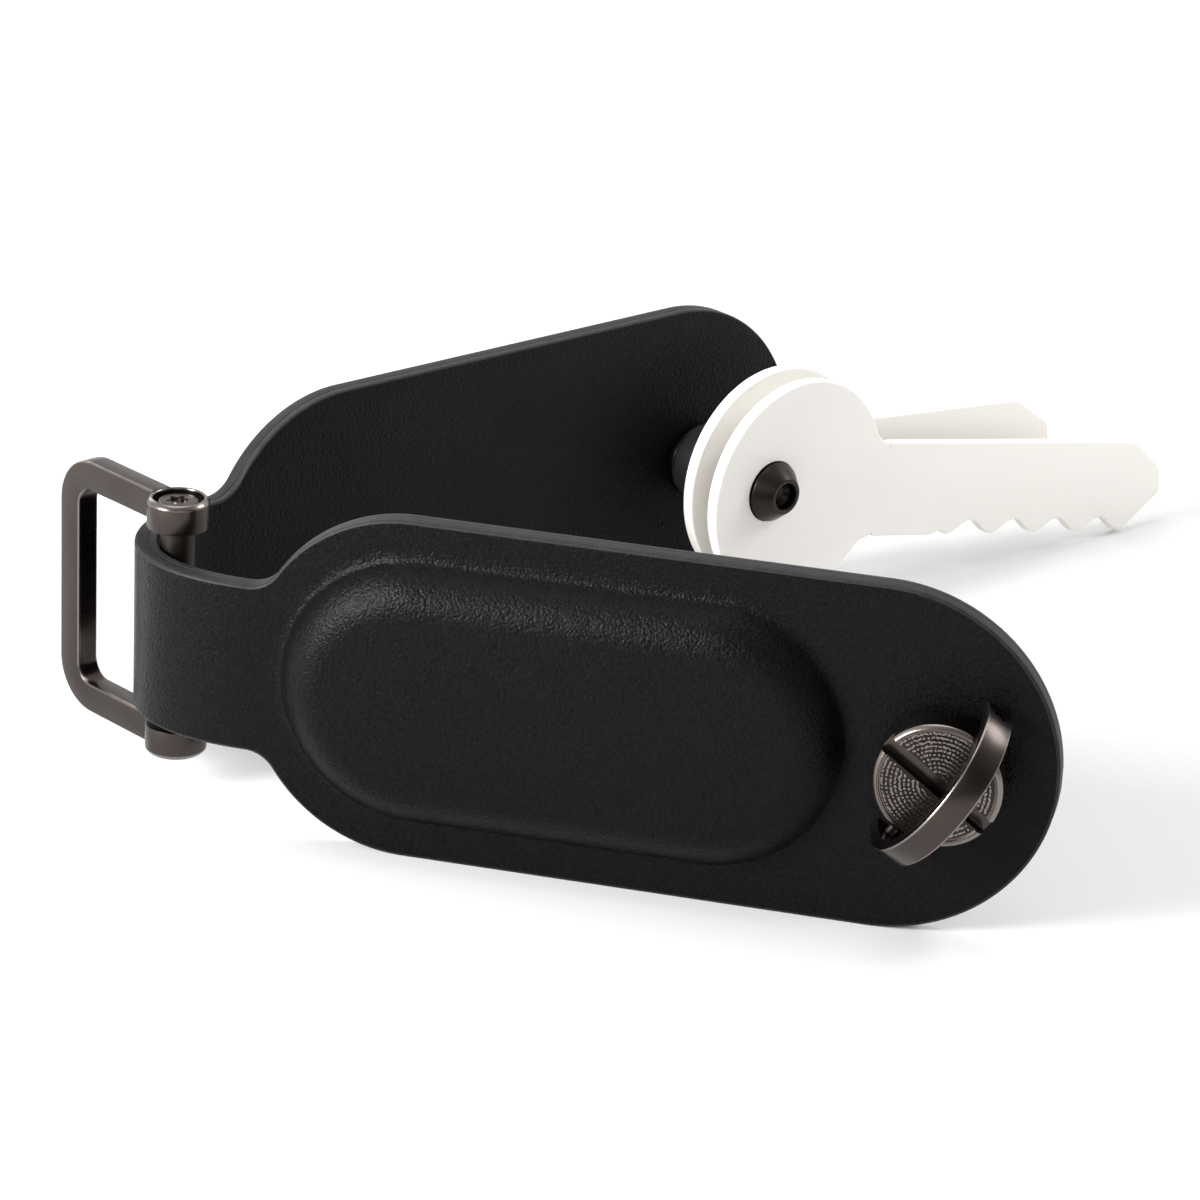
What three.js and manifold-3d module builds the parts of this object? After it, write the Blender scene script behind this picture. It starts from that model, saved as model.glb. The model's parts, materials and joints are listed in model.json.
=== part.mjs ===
// Key organizer: a leather strap folded round the post of a metal ring. Its rear leaf carries two keys
// on a screw post, and its front leaf carries a moulded pocket and a turn lock with a folding bail.
// Millimetres, +Z up. +X runs from the ring post along the middle of the opening between the leaves.
// The strap stands on its long edges, and the origin is at the middle of the base of its bounding box.
import * as THREE from 'three';
import { mergeVertices } from 'three/addons/utils/BufferGeometryUtils.js';
import Module from 'manifold-3d';

const wasm = await Module();
wasm.setup();

// Strap: two leaves joined by a narrow neck
const openingAngle = 55.07; // degrees between the leaves
const leafWidth = 30;
const leafLength = 76.9; // ring post axis to the round end
const leatherThickness = 1.2;
const liningThickness = 0.6;
const glueGap = 0.1;
const frontLeafOffset = 7.3; // ring post axis to the front leaf's outer face
const rearLeafOffset = 7.8; // ring post axis to the rear leaf's outer face
const neckWidth = 14.8;
const shoulderRadius = 13.8;
const shoulderFillet = 3;
const shoulderEnd = 22.5; // ring post axis to where the leaf is at full width
const seamGap = 0.3; // between the neck and a leaf
const loopRadius = 3.6; // outside of the strap where it wraps the ring post
const flareAngle = 38.5; // degrees between a leaf and the strap that leaves the post
const flareRadius = 5.4;

// Moulded pocket on the front leaf
const pocketStart = 11.5; // ring post axis to the pocket's near end
const pocketToLock = 2.8; // pocket's far end to the lock drum
const pocketMargin = 3.3; // pocket's long side to the leaf's long edge
const pocketHeight = 2.8;
const pocketEdge = 2.4; // rounding of the pocket's rim
const coreClearance = 0.2;

// Ring, its knuckles and its post
const ringAngle = 119.5; // degrees from +X
const ringReach = 15.1; // post axis to the outside of the ring's far bar
const ringHeight = 23.2;
const barDepth = 2.6;
const barWidth = 2.2;
const barEdge = 0.3;
const ringCorner = 4.3;
const knuckleRadius = 2.66;
const knuckleHeight = 2.6;
const postClearance = 0.2;
const screwRadius = 1;
const screwHeadHeight = 0.5;
const screwHeadInset = 0.2; // head below the knuckle's rim
const screwHeadWall = 0.65; // knuckle wall round the head
const screwDriveDepth = 0.3;
const screwDriveWidth = 0.4;
const screwLength = 10;
const boreClearance = 0.1;

// Key post through the rear leaf
const postToLeafEnd = 12.2; // key post axis to the leaf's round end
const keyPostRadius = 2.75;
const postWasherRadius = 3.5;
const postWasherThickness = 0.8;
const backCapRadius = 5;
const backCapThickness = 1;
const backCapEdge = 0.35;
const capStudRadius = 1.4;
const capStudReach = 4; // into the key post
const tipLength = 1.8;
const tipBaseRadius = 2.85;
const tipRimRadius = 1.7;
const tipSocketRadius = 1.3;
const tipSocketDepth = 1.5;
const tipStudRadius = 0.9;
const tipStudLength = 2.4;
const spacerRadius = 3.6;
const rearSpacerLength = 5.2;
const middleSpacerLength = 2;
const seatGap = 0.1; // between pieces stacked on a post
const closedLeafGap = 0.3; // front key to the front leaf when the strap is shut

// Keys
const keyThickness = 1.2;
const keyHoleClearance = 0.2;
const keyHeadRadius = 10.7;
const keyHeadOffset = 3.65; // hole to the middle of the head
const keyBladeWidth = 9.4;
const keyBladeRoot = 2.5; // fillet between head and blade
const keyTipLength = 5.8; // slope on the blade's plain edge
const keyTipBevel = 4.7; // slope on the blade's toothed edge
const keyTipFlat = 2.5; // blunt end between the slopes
const keyTipSetback = 0.75; // blunt end's upper corner behind its lower one
const keyToothDepth = 1.4;
const keyToothPitch = 6.4;
const keyFirstTooth = 25.4; // hole to the first tooth
const keyValleyWidth = 2.2;
const frontKeyReach = 56.2; // hole to tip
const rearKeyReach = 41.8;
const frontKeyAngle = -11.3; // degrees from the leaf's length
const rearKeyAngle = -6;

// Turn lock on the front leaf
const lockToLeafEnd = 9.3; // lock axis to the leaf's round end
const drumRadius = 5.3;
const drumTop = 4; // drum face above the leaf
const drumEdge = 0.3;
const drumRimWidth = 0.55;
const drumRimHeight = 0.2;
const drumSlotWidth = 1.4;
const drumSlotDepth = 1.2;
const collarThickness = 0.5;
const collarWall = 0.85;
const seatNeckRadius = 4;
const seatFlangeRim = 0.75;
const coneClearance = 0.35; // seat to the key post's tip
const lipThickness = 0.45;
const clipThickness = 0.25;
const clipWall = 0.8;
const lockScrewRadius = 0.95;
const lockScrewSeat = 1.4; // length held in the drum
const lockRunningGap = 0.1;

// Folding bail on the drum
const bailTurn = 54.3; // degrees from the leaf's length to the bail's axis
const bailLean = 11.8; // degrees from square to the leaf
const bailGap = 1.25; // drum to the bail's inside
const bailThickness = 1;
const bailWidth = 2.4;
const bailEdge = 0.2;
const bailFoot = 1.2; // bail's end past its pin
const bailPinRadius = 0.45;
const bailPinSeat = 1.2; // pin's length in the drum
const bailPinInset = 0.2; // pin's end below the bail's outside
const bailPinHeight = 2.3; // pin above the leaf
const bailPinClearance = 0.08;

// Roundness of turned and curved shapes
const turnSegments = 28;
const arcSegments = 8;
const rimSegments = 4; // across the pocket's rounded rim

// Places that follow from the sizes above
const halfOpening = openingAngle / 2;
const strapThickness = leatherThickness + glueGap + liningThickness;
const leafEndRadius = leafWidth / 2;
const leafEndCentre = leafLength - leafEndRadius;
const filletRise = neckWidth / 2 + shoulderFillet - (leafWidth / 2 - shoulderRadius);
const filletCentre = shoulderEnd - Math.sqrt((shoulderRadius + shoulderFillet) ** 2 - filletRise ** 2);
const neckEnd = filletCentre;
const keyPostPlace = leafLength - postToLeafEnd;
const lockPlace = leafLength - lockToLeafEnd;
const pocketEnd = lockPlace - drumRadius - pocketToLock;
const postRadius = loopRadius - strapThickness - postClearance;
const knuckleBase = ringHeight / 2 - knuckleHeight;
const washerEnd = seatGap + postWasherThickness;
const rearSpacerStart = washerEnd + seatGap;
const rearKeyStart = rearSpacerStart + rearSpacerLength + seatGap;
const middleSpacerStart = rearKeyStart + keyThickness + seatGap;
const frontKeyStart = middleSpacerStart + middleSpacerLength + seatGap;
const keyPostEnd = frontKeyStart + keyThickness;
const tipStart = keyPostEnd + seatGap;
const closedGap = keyPostEnd + closedLeafGap;
const keyHoleRadius = keyPostRadius + keyHoleClearance;

const leatherLook = { color: 0x161617, roughness: 0.6, metalness: 0 };
const liningLook = { color: 0x1b1b1c, roughness: 0.75, metalness: 0 };
const coreLook = { color: 0x3a3a3c, roughness: 0.9, metalness: 0 };
const gunmetalLook = { color: 0x5b5552, roughness: 0.32, metalness: 1 };
const blackMetalLook = { color: 0x2a2725, roughness: 0.35, metalness: 1 };
const spacerLook = { color: 0x232324, roughness: 0.5, metalness: 0 };
const keyLook = { color: 0xedeae5, roughness: 0.55, metalness: 0 };

const radians = THREE.MathUtils.degToRad;

// Closed solid of a geometry, with shared corners merged and its faces turned outwards
function solidOf(geometry) {
  const bare = geometry.clone();
  bare.deleteAttribute('normal');
  bare.deleteAttribute('uv');
  const merged = mergeVertices(bare);
  const corners = merged.getAttribute('position').array;
  const triangles = [];
  let volume = 0;
  const a = new THREE.Vector3();
  const b = new THREE.Vector3();
  const c = new THREE.Vector3();
  for (let i = 0; i < merged.index.count; i += 3) {
    const [p, q, r] = merged.index.array.slice(i, i + 3);
    if (p === q || q === r || r === p) continue;
    triangles.push(p, q, r);
    a.fromArray(corners, 3 * p);
    b.fromArray(corners, 3 * q);
    c.fromArray(corners, 3 * r);
    volume += a.dot(b.cross(c));
  }
  if (volume < 0) triangles.reverse();
  const vertProperties = new Float32Array(corners);
  const triVerts = new Uint32Array(triangles);
  return new wasm.Manifold(new wasm.Mesh({ numProp: 3, vertProperties, triVerts }));
}

function piece(name, solid, look) {
  const { vertProperties, triVerts } = solid.getMesh();
  const geometry = new THREE.BufferGeometry();
  geometry.setAttribute('position', new THREE.BufferAttribute(vertProperties, 3));
  geometry.setIndex(new THREE.BufferAttribute(triVerts, 1));
  const mesh = new THREE.Mesh(geometry, new THREE.MeshStandardMaterial(look));
  mesh.name = name;
  return mesh;
}

// Solid turned about Z from [radius, height] pairs
function turned(profile) {
  const points = profile.map(([radius, height]) => new THREE.Vector2(radius, height));
  return solidOf(new THREE.LatheGeometry(points, turnSegments).rotateX(Math.PI / 2));
}

// Ring turned about Z with a plain hole
function washer(outerRadius, holeRadius, low, high) {
  return turned([
    [holeRadius, low],
    [outerRadius, low],
    [outerRadius, high],
    [holeRadius, high],
    [holeRadius, low],
  ]);
}

function disc(radius, low, high) {
  return turned([[0, low], [radius, low], [radius, high], [0, high]]);
}

function block(sizeX, sizeY, low, high) {
  const box = new THREE.BoxGeometry(sizeX, sizeY, high - low);
  return solidOf(box.translate(0, 0, (low + high) / 2));
}

function extruded(shape, depth, edge = 0) {
  const settings = { depth: depth - 2 * edge, curveSegments: arcSegments, bevelEnabled: edge > 0 };
  const bevel = { bevelThickness: edge, bevelSize: edge, bevelOffset: -edge, bevelSegments: 1 };
  return new THREE.ExtrudeGeometry(shape, { ...settings, ...bevel }).translate(0, 0, edge);
}

// Round bar along Y through a leaf
function drillThroughLeaf(radius, place, middleY) {
  const rod = new THREE.CylinderGeometry(radius, radius, 4 * strapThickness, turnSegments);
  return solidOf(rod.translate(place, middleY, 0));
}

// Leaf outline, its length along X and its width along Y
function leafShape() {
  const start = neckEnd + seamGap;
  const shoulderHeight = leafWidth / 2 - shoulderRadius;
  const filletHeight = neckWidth / 2 + shoulderFillet;
  const lean = Math.atan2(filletHeight - shoulderHeight, shoulderEnd - filletCentre);
  const startTurn = Math.acos((start - filletCentre) / shoulderFillet);
  const shape = new THREE.Shape();
  shape.moveTo(start, -filletHeight + shoulderFillet * Math.sin(startTurn));
  shape.absarc(filletCentre, -filletHeight, shoulderFillet, startTurn, lean, true);
  shape.absarc(shoulderEnd, -shoulderHeight, shoulderRadius, Math.PI + lean, 1.5 * Math.PI, false);
  shape.absarc(leafEndCentre, 0, leafEndRadius, -Math.PI / 2, Math.PI / 2, false);
  shape.absarc(shoulderEnd, shoulderHeight, shoulderRadius, Math.PI / 2, Math.PI - lean, false);
  shape.absarc(filletCentre, filletHeight, shoulderFillet, -lean, -startTurn, true);
  shape.closePath();
  return shape;
}

// Flat layer of a leaf that fills Y from low to low + thickness
function leafLayer(low, thickness) {
  return solidOf(extruded(leafShape(), thickness).rotateX(Math.PI / 2).translate(0, low + thickness, 0));
}

// One side of the neck in its leaf's own frame, from behind the post to the leaf
function flarePoints(leafOffset, depth, side) {
  const lean = radians(flareAngle);
  const rise = leafOffset - flareRadius;
  const bendPlace = (Math.cos(lean) * rise - (loopRadius - flareRadius)) / Math.sin(lean);
  const points = [];
  const addArc = (centreX, centreY, radius, from, to) => {
    for (let step = 0; step <= arcSegments; step += 1) {
      const turn = from + (to - from) * step / arcSegments;
      points.push(new THREE.Vector2(centreX + radius * Math.cos(turn), centreY + radius * Math.sin(turn)));
    }
  };
  addArc(0, 0, loopRadius - depth, Math.PI - radians(halfOpening), Math.PI / 2 + lean);
  addArc(bendPlace, rise, flareRadius - depth, Math.PI / 2 + lean, Math.PI / 2);
  points.push(new THREE.Vector2(neckEnd, leafOffset - depth));
  const centre = new THREE.Vector2();
  return points.map((point) => {
    const placed = point.rotateAround(centre, radians(halfOpening));
    return side > 0 ? placed : new THREE.Vector2(placed.x, -placed.y);
  });
}

// Layer of the neck between two depths below the strap's outside
function neckLayer(outerDepth, innerDepth) {
  const run = (depth) => {
    const front = flarePoints(frontLeafOffset, depth, -1).reverse();
    return [...front, ...flarePoints(rearLeafOffset, depth, 1).slice(1)];
  };
  const shape = new THREE.Shape([...run(outerDepth), ...run(innerDepth).reverse()]);
  return solidOf(extruded(shape, neckWidth).translate(0, 0, -neckWidth / 2));
}

// Pocket form with a rounded rim, that fills Z from low to height
// Its outline lies inside the pocket's own by inset
function pocketForm(inset, height, low = 0) {
  const radius = leafWidth / 2 - pocketMargin - inset;
  const nearCentre = pocketStart + inset + radius;
  const farCentre = pocketEnd - inset - radius;
  const edge = Math.min(pocketEdge, height);
  const shape = new THREE.Shape();
  shape.absarc(nearCentre, 0, radius, Math.PI / 2, 1.5 * Math.PI, false);
  shape.absarc(farCentre, 0, radius, -Math.PI / 2, Math.PI / 2, false);
  const settings = { depth: 2 * (height - edge + glueGap), curveSegments: arcSegments };
  const bevel = { bevelThickness: edge, bevelSize: edge, bevelOffset: -edge, bevelSegments: rimSegments };
  const form = new THREE.ExtrudeGeometry(shape, { ...settings, ...bevel });
  const whole = solidOf(form.translate(0, 0, -edge - glueGap));
  return whole.intersect(block(4 * leafLength, 2 * leafWidth, low, 2 * height));
}

// Turns a form that rises along Z so that it rises outwards from the front leaf, from the plane Y = level
function onFrontLeaf(solid, level) {
  return solid.rotate(90, 0, 0).translate(0, level, 0);
}

function buildRearLeaf() {
  const side = new THREE.Group();
  side.rotation.z = radians(halfOpening);
  const middle = rearLeafOffset - strapThickness / 2;
  const drill = drillThroughLeaf(capStudRadius + postClearance, keyPostPlace, middle);
  const leather = leafLayer(rearLeafOffset - leatherThickness, leatherThickness).subtract(drill);
  const lining = leafLayer(rearLeafOffset - strapThickness, liningThickness).subtract(drill);
  side.add(piece('rear_leaf_leather', leather, leatherLook));
  side.add(piece('rear_leaf_lining', lining, liningLook));
  side.add(buildKeyPost());
  return side;
}

function buildNeck() {
  const neck = new THREE.Group();
  neck.add(piece('neck_loop_leather', neckLayer(0, leatherThickness), leatherLook));
  neck.add(piece('neck_loop_lining', neckLayer(leatherThickness + glueGap, strapThickness), liningLook));
  return neck;
}

// Key post, its fastenings and the keys on it, rising along Z from the rear leaf's inner face
function buildKeyPost() {
  const post = new THREE.Group();
  post.position.set(keyPostPlace, rearLeafOffset - strapThickness, 0);
  post.rotation.x = Math.PI / 2;
  const capTop = -strapThickness - seatGap;
  const capLow = capTop - backCapThickness;
  const studEnd = washerEnd + seatGap + capStudReach;
  const backCap = turned([
    [0, capLow],
    [backCapRadius - backCapEdge, capLow],
    [backCapRadius, capLow + backCapEdge],
    [backCapRadius, capTop],
    [capStudRadius, capTop],
    [capStudRadius, studEnd],
    [0, studEnd],
  ]);
  const postBore = disc(capStudRadius + boreClearance, 0, studEnd + seatGap);
  const tipBore = disc(tipStudRadius + boreClearance, tipStart - tipStudLength - seatGap, tipStart);
  const barrel = disc(keyPostRadius, washerEnd + seatGap, keyPostEnd).subtract(postBore).subtract(tipBore);
  const tipEnd = tipStart + tipLength;
  const tip = turned([
    [0, tipStart - tipStudLength],
    [tipStudRadius, tipStart - tipStudLength],
    [tipStudRadius, tipStart],
    [tipBaseRadius, tipStart],
    [tipRimRadius, tipEnd],
    [tipSocketRadius, tipEnd],
    [tipSocketRadius, tipEnd - tipSocketDepth],
    [0, tipEnd - tipSocketDepth],
  ]);
  const flange = washer(postWasherRadius, capStudRadius + boreClearance, seatGap, washerEnd);
  const rearSpacer = washer(spacerRadius, keyHoleRadius, rearSpacerStart, rearSpacerStart + rearSpacerLength);
  const middleEnd = middleSpacerStart + middleSpacerLength;
  const middleSpacer = washer(spacerRadius, keyHoleRadius, middleSpacerStart, middleEnd);
  post.add(piece('key_post_back_cap', backCap, blackMetalLook));
  post.add(piece('key_post_washer', flange, blackMetalLook));
  post.add(piece('key_post', barrel, blackMetalLook));
  post.add(piece('key_post_tip', tip, blackMetalLook));
  post.add(piece('rear_key_spacer', rearSpacer, spacerLook));
  post.add(piece('middle_key_spacer', middleSpacer, spacerLook));
  post.add(buildKey('rear_key', rearKeyReach, rearKeyStart, rearKeyAngle));
  post.add(buildKey('front_key', frontKeyReach, frontKeyStart, frontKeyAngle));
  return post;
}

// Key that lies along X, with the teeth on its lower edge
function buildKey(name, reach, base, angle) {
  const halfBlade = keyBladeWidth / 2;
  const filletMiddle = halfBlade + keyBladeRoot;
  const filletSpan = keyHeadRadius + keyBladeRoot;
  const filletPlace = keyHeadOffset + Math.sqrt(filletSpan ** 2 - filletMiddle ** 2);
  const lean = Math.asin(filletMiddle / filletSpan);
  const tipStartX = reach - keyTipLength;
  const shape = new THREE.Shape();
  shape.absarc(keyHeadOffset, 0, keyHeadRadius, lean, 2 * Math.PI - lean, false);
  shape.absarc(filletPlace, -filletMiddle, keyBladeRoot, Math.PI - lean, Math.PI / 2, true);
  const teeth = Math.floor((reach - keyTipBevel - keyFirstTooth) / keyToothPitch);
  for (let tooth = 0; tooth < teeth; tooth += 1) {
    const valley = keyFirstTooth + (tooth + 0.5) * keyToothPitch;
    shape.lineTo(valley - keyToothPitch / 2, -halfBlade);
    shape.lineTo(valley - keyValleyWidth / 2, -halfBlade + keyToothDepth);
    shape.lineTo(valley + keyValleyWidth / 2, -halfBlade + keyToothDepth);
  }
  shape.lineTo(reach - keyTipBevel, -halfBlade);
  shape.lineTo(reach, -keyTipFlat / 4);
  shape.lineTo(reach - keyTipSetback, 3 * keyTipFlat / 4);
  shape.lineTo(tipStartX, halfBlade);
  shape.absarc(filletPlace, filletMiddle, keyBladeRoot, -Math.PI / 2, -Math.PI + lean, true);
  shape.closePath();
  const hole = disc(keyHoleRadius, -keyThickness, 2 * keyThickness);
  const key = piece(name, solidOf(extruded(shape, keyThickness)).subtract(hole), keyLook);
  key.position.z = base;
  key.rotation.z = radians(angle);
  return key;
}

function buildFrontLeaf() {
  const side = new THREE.Group();
  side.rotation.z = -radians(halfOpening);
  const middle = -frontLeafOffset + strapThickness / 2;
  const neckDrill = drillThroughLeaf(seatNeckRadius + boreClearance, lockPlace, middle);
  const flangeRadius = seatNeckRadius + seatFlangeRim;
  const flangeDrill = drillThroughLeaf(flangeRadius + boreClearance, lockPlace, middle);
  const leatherBack = -frontLeafOffset + leatherThickness;
  const bulge = onFrontLeaf(pocketForm(0, pocketHeight + leatherThickness), leatherBack);
  const cavity = onFrontLeaf(pocketForm(leatherThickness, pocketHeight, -glueGap), leatherBack);
  const flat = leafLayer(-frontLeafOffset, leatherThickness);
  const leather = flat.add(bulge).subtract(cavity).subtract(neckDrill);
  const coreForm = pocketForm(leatherThickness + coreClearance, pocketHeight - coreClearance);
  const core = onFrontLeaf(coreForm, leatherBack);
  const liningLow = -frontLeafOffset + strapThickness - liningThickness;
  const lining = leafLayer(liningLow, liningThickness).subtract(flangeDrill);
  side.add(piece('front_leaf_leather', leather, leatherLook));
  side.add(piece('front_leaf_lining', lining, liningLook));
  side.add(piece('pocket_core', core, coreLook));
  side.add(buildLock());
  return side;
}

// Turn lock, rising along Z from the front leaf's outer face
function buildLock() {
  const lock = new THREE.Group();
  lock.position.set(lockPlace, -frontLeafOffset, 0);
  lock.rotation.x = Math.PI / 2;
  const inside = -strapThickness;
  const tipSlope = (tipBaseRadius - tipRimRadius) / tipLength;
  const mouthRadius = tipBaseRadius - tipSlope * (closedGap - tipStart) + coneClearance;
  const throatRadius = tipRimRadius + coneClearance;
  const throatStart = inside + tipStart + tipLength - closedGap;
  const clipStart = throatStart + lockRunningGap;
  const lipStart = clipStart + clipThickness + lockRunningGap;
  const seatTop = lipStart + lipThickness;
  const lipRadius = lockScrewRadius + postClearance;
  const flangeTop = inside + liningThickness;
  const seat = turned([
    [mouthRadius, inside],
    [seatNeckRadius + seatFlangeRim, inside],
    [seatNeckRadius + seatFlangeRim, flangeTop],
    [seatNeckRadius, flangeTop],
    [seatNeckRadius, seatTop],
    [lipRadius, seatTop],
    [lipRadius, lipStart],
    [throatRadius, lipStart],
    [throatRadius, throatStart],
    [mouthRadius, inside],
  ]);
  const collarHole = seatNeckRadius + boreClearance;
  const collar = washer(collarHole + collarWall, collarHole, seatGap, seatGap + collarThickness);
  lock.add(piece('lock_seat', seat, blackMetalLook));
  lock.add(piece('lock_collar', collar, gunmetalLook));
  lock.add(buildKnob(Math.max(seatTop, seatGap + collarThickness) + lockRunningGap, clipStart));
  return lock;
}

// Drum, screw, clip and bail, with the bail's pins along X
function buildKnob(drumBase, clipStart) {
  const knob = new THREE.Group();
  knob.rotation.z = radians(bailTurn);
  const screwTop = drumBase + lockScrewSeat;
  const screwEnd = clipStart - (tipSocketDepth - lockRunningGap) + coneClearance;
  const rimRadius = drumRadius - drumRimWidth;
  let drum = turned([
    [0, drumBase],
    [drumRadius, drumBase],
    [drumRadius, drumTop - drumEdge],
    [drumRadius - drumEdge, drumTop],
    [rimRadius, drumTop],
    [rimRadius, drumTop - drumRimHeight],
    [0, drumTop - drumRimHeight],
  ]);
  const slotBase = drumTop - drumSlotDepth;
  drum = drum.subtract(block(drumSlotWidth, 3 * drumRadius, slotBase, 2 * drumTop));
  drum = drum.subtract(disc(lockScrewRadius + boreClearance, 0, screwTop + boreClearance));
  const pinStart = drumRadius - bailPinSeat;
  const pinEnd = drumRadius + bailGap + bailThickness - bailPinInset;
  const pinHole = disc(bailPinRadius + bailPinClearance, pinStart - bailPinClearance, 2 * drumRadius);
  const alongX = pinHole.rotate(0, 90, 0).translate(0, 0, bailPinHeight);
  drum = drum.subtract(alongX).subtract(alongX.rotate(0, 0, 180));
  const pin = disc(bailPinRadius, pinStart, pinEnd).rotate(0, 90, 0).translate(0, 0, bailPinHeight);
  const screw = disc(lockScrewRadius, screwEnd, screwTop);
  const clipHole = lockScrewRadius + bailPinClearance;
  const clip = washer(clipHole + clipWall, clipHole, clipStart, clipStart + clipThickness);
  knob.add(piece('lock_drum', drum, gunmetalLook));
  knob.add(piece('lock_screw', screw, blackMetalLook));
  knob.add(piece('lock_clip', clip, gunmetalLook));
  knob.add(piece('bail_pin_upper', pin, gunmetalLook));
  knob.add(piece('bail_pin_lower', pin.rotate(0, 0, 180), gunmetalLook));
  knob.add(buildBail());
  return knob;
}

// Half-round bail that stands along Z over its pins
function buildBail() {
  const inner = drumRadius + bailGap;
  const outer = inner + bailThickness;
  const shape = new THREE.Shape();
  shape.moveTo(outer, -bailFoot);
  shape.absarc(0, 0, outer, 0, Math.PI, false);
  shape.lineTo(-outer, -bailFoot);
  shape.lineTo(-inner, -bailFoot);
  shape.absarc(0, 0, inner, Math.PI, 0, true);
  shape.lineTo(inner, -bailFoot);
  shape.closePath();
  const band = extruded(shape, bailWidth, bailEdge).rotateX(Math.PI / 2).translate(0, bailWidth / 2, 0);
  const pinHole = disc(bailPinRadius + bailPinClearance, -2 * outer, 2 * outer).rotate(0, 90, 0);
  const bail = piece('lock_bail', solidOf(band).subtract(pinHole), gunmetalLook);
  bail.position.z = bailPinHeight;
  bail.rotation.x = radians(bailLean);
  return bail;
}

// Ring with its two knuckles, the post between them and the screw from above
function buildRing() {
  const ring = new THREE.Group();
  ring.rotation.z = radians(ringAngle);
  const top = ringHeight / 2;
  const innerReach = ringReach - barDepth;
  const innerCorner = ringCorner - barDepth;
  const shape = new THREE.Shape();
  shape.moveTo(0, -top);
  shape.absarc(ringReach - ringCorner, -top + ringCorner, ringCorner, -Math.PI / 2, 0, false);
  shape.absarc(ringReach - ringCorner, top - ringCorner, ringCorner, 0, Math.PI / 2, false);
  shape.lineTo(0, top);
  shape.lineTo(0, knuckleBase);
  shape.absarc(innerReach - innerCorner, knuckleBase - innerCorner, innerCorner, Math.PI / 2, 0, true);
  shape.absarc(innerReach - innerCorner, -knuckleBase + innerCorner, innerCorner, 0, -Math.PI / 2, true);
  shape.lineTo(0, -knuckleBase);
  shape.closePath();
  const bar = extruded(shape, barWidth, barEdge).rotateX(Math.PI / 2).translate(0, barWidth / 2, 0);
  const headRadius = knuckleRadius - screwHeadWall;
  const headTop = top - screwHeadInset;
  const headBase = headTop - screwHeadHeight;
  const counterbore = disc(headRadius + boreClearance, headBase - seatGap, 2 * top);
  const shoulder = knuckleRadius - barEdge;
  const knuckle = turned([
    [0, knuckleBase],
    [knuckleRadius, knuckleBase],
    [knuckleRadius, top - barEdge],
    [shoulder, top],
    [0, top],
  ]);
  const frame = solidOf(bar).add(knuckle).add(knuckle.rotate(180, 0, 0));
  const upperBore = disc(screwRadius + boreClearance, 0, 2 * top);
  const lowerBore = disc(postRadius + boreClearance, -2 * top, 0);
  const bores = counterbore.add(counterbore.rotate(180, 0, 0)).add(upperBore).add(lowerBore);
  const postTop = knuckleBase - seatGap;
  const screwEnd = headBase - screwLength;
  const barrel = turned([
    [0, -headTop],
    [headRadius, -headTop],
    [headRadius, -headBase],
    [postRadius, -headBase],
    [postRadius, postTop],
    [screwRadius + boreClearance, postTop],
    [screwRadius + boreClearance, screwEnd - boreClearance],
    [0, screwEnd - boreClearance],
  ]);
  const plainScrew = turned([
    [0, screwEnd],
    [screwRadius, screwEnd],
    [screwRadius, headBase],
    [headRadius, headBase],
    [headRadius, headTop],
    [0, headTop],
  ]);
  const driveLow = headTop - screwDriveDepth;
  const drive = block(headRadius, screwDriveWidth, driveLow, 2 * top);
  const screw = plainScrew.subtract(drive).subtract(drive.rotate(0, 0, 90));
  ring.add(piece('ring_frame', frame.subtract(bores), gunmetalLook));
  ring.add(piece('ring_post_barrel', barrel, gunmetalLook));
  ring.add(piece('ring_post_screw', screw, gunmetalLook));
  return ring;
}

const organizer = new THREE.Group();
organizer.add(buildRearLeaf(), buildNeck(), buildFrontLeaf(), buildRing());

// The origin moves from the ring post to the middle of the base
const extent = new THREE.Box3().setFromObject(organizer, true);
const middle = extent.getCenter(new THREE.Vector3());
organizer.position.set(-middle.x, -middle.y, -extent.min.z);
organizer.updateMatrixWorld(true);

export default organizer;
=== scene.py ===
import json
import math

import bmesh
import bpy
from mathutils import Matrix, Vector


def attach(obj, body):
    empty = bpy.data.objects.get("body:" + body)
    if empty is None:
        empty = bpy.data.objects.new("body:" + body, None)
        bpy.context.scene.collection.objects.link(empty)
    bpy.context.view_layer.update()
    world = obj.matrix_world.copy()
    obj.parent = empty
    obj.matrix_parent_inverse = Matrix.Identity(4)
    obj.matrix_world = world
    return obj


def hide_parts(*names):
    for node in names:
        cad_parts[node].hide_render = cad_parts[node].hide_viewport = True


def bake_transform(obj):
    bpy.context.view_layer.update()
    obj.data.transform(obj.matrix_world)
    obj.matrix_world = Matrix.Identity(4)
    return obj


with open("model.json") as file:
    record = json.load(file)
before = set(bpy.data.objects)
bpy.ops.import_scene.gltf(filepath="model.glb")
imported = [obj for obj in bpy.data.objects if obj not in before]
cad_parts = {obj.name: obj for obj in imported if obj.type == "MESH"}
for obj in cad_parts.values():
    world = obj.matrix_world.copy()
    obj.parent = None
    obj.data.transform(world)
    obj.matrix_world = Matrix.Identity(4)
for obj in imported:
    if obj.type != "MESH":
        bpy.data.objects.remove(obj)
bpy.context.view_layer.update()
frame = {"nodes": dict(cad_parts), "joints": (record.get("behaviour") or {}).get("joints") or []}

scene = bpy.context.scene
mm = 0.001  # sizes are in millimetres, the scene is in metres
tiny = 1e-6  # a radius or length below this counts as none
weld = 1e-5  # points closer than this are one
square = 0.99  # a face counts as square to an axis from this share of its normal
quarterTurn = math.pi / 2
up = Vector((0, 0, 1))
joints = {joint["name"]: joint for joint in frame["joints"]}
ringPost = Vector(joints["ring_swing"]["pos_m"])
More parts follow.
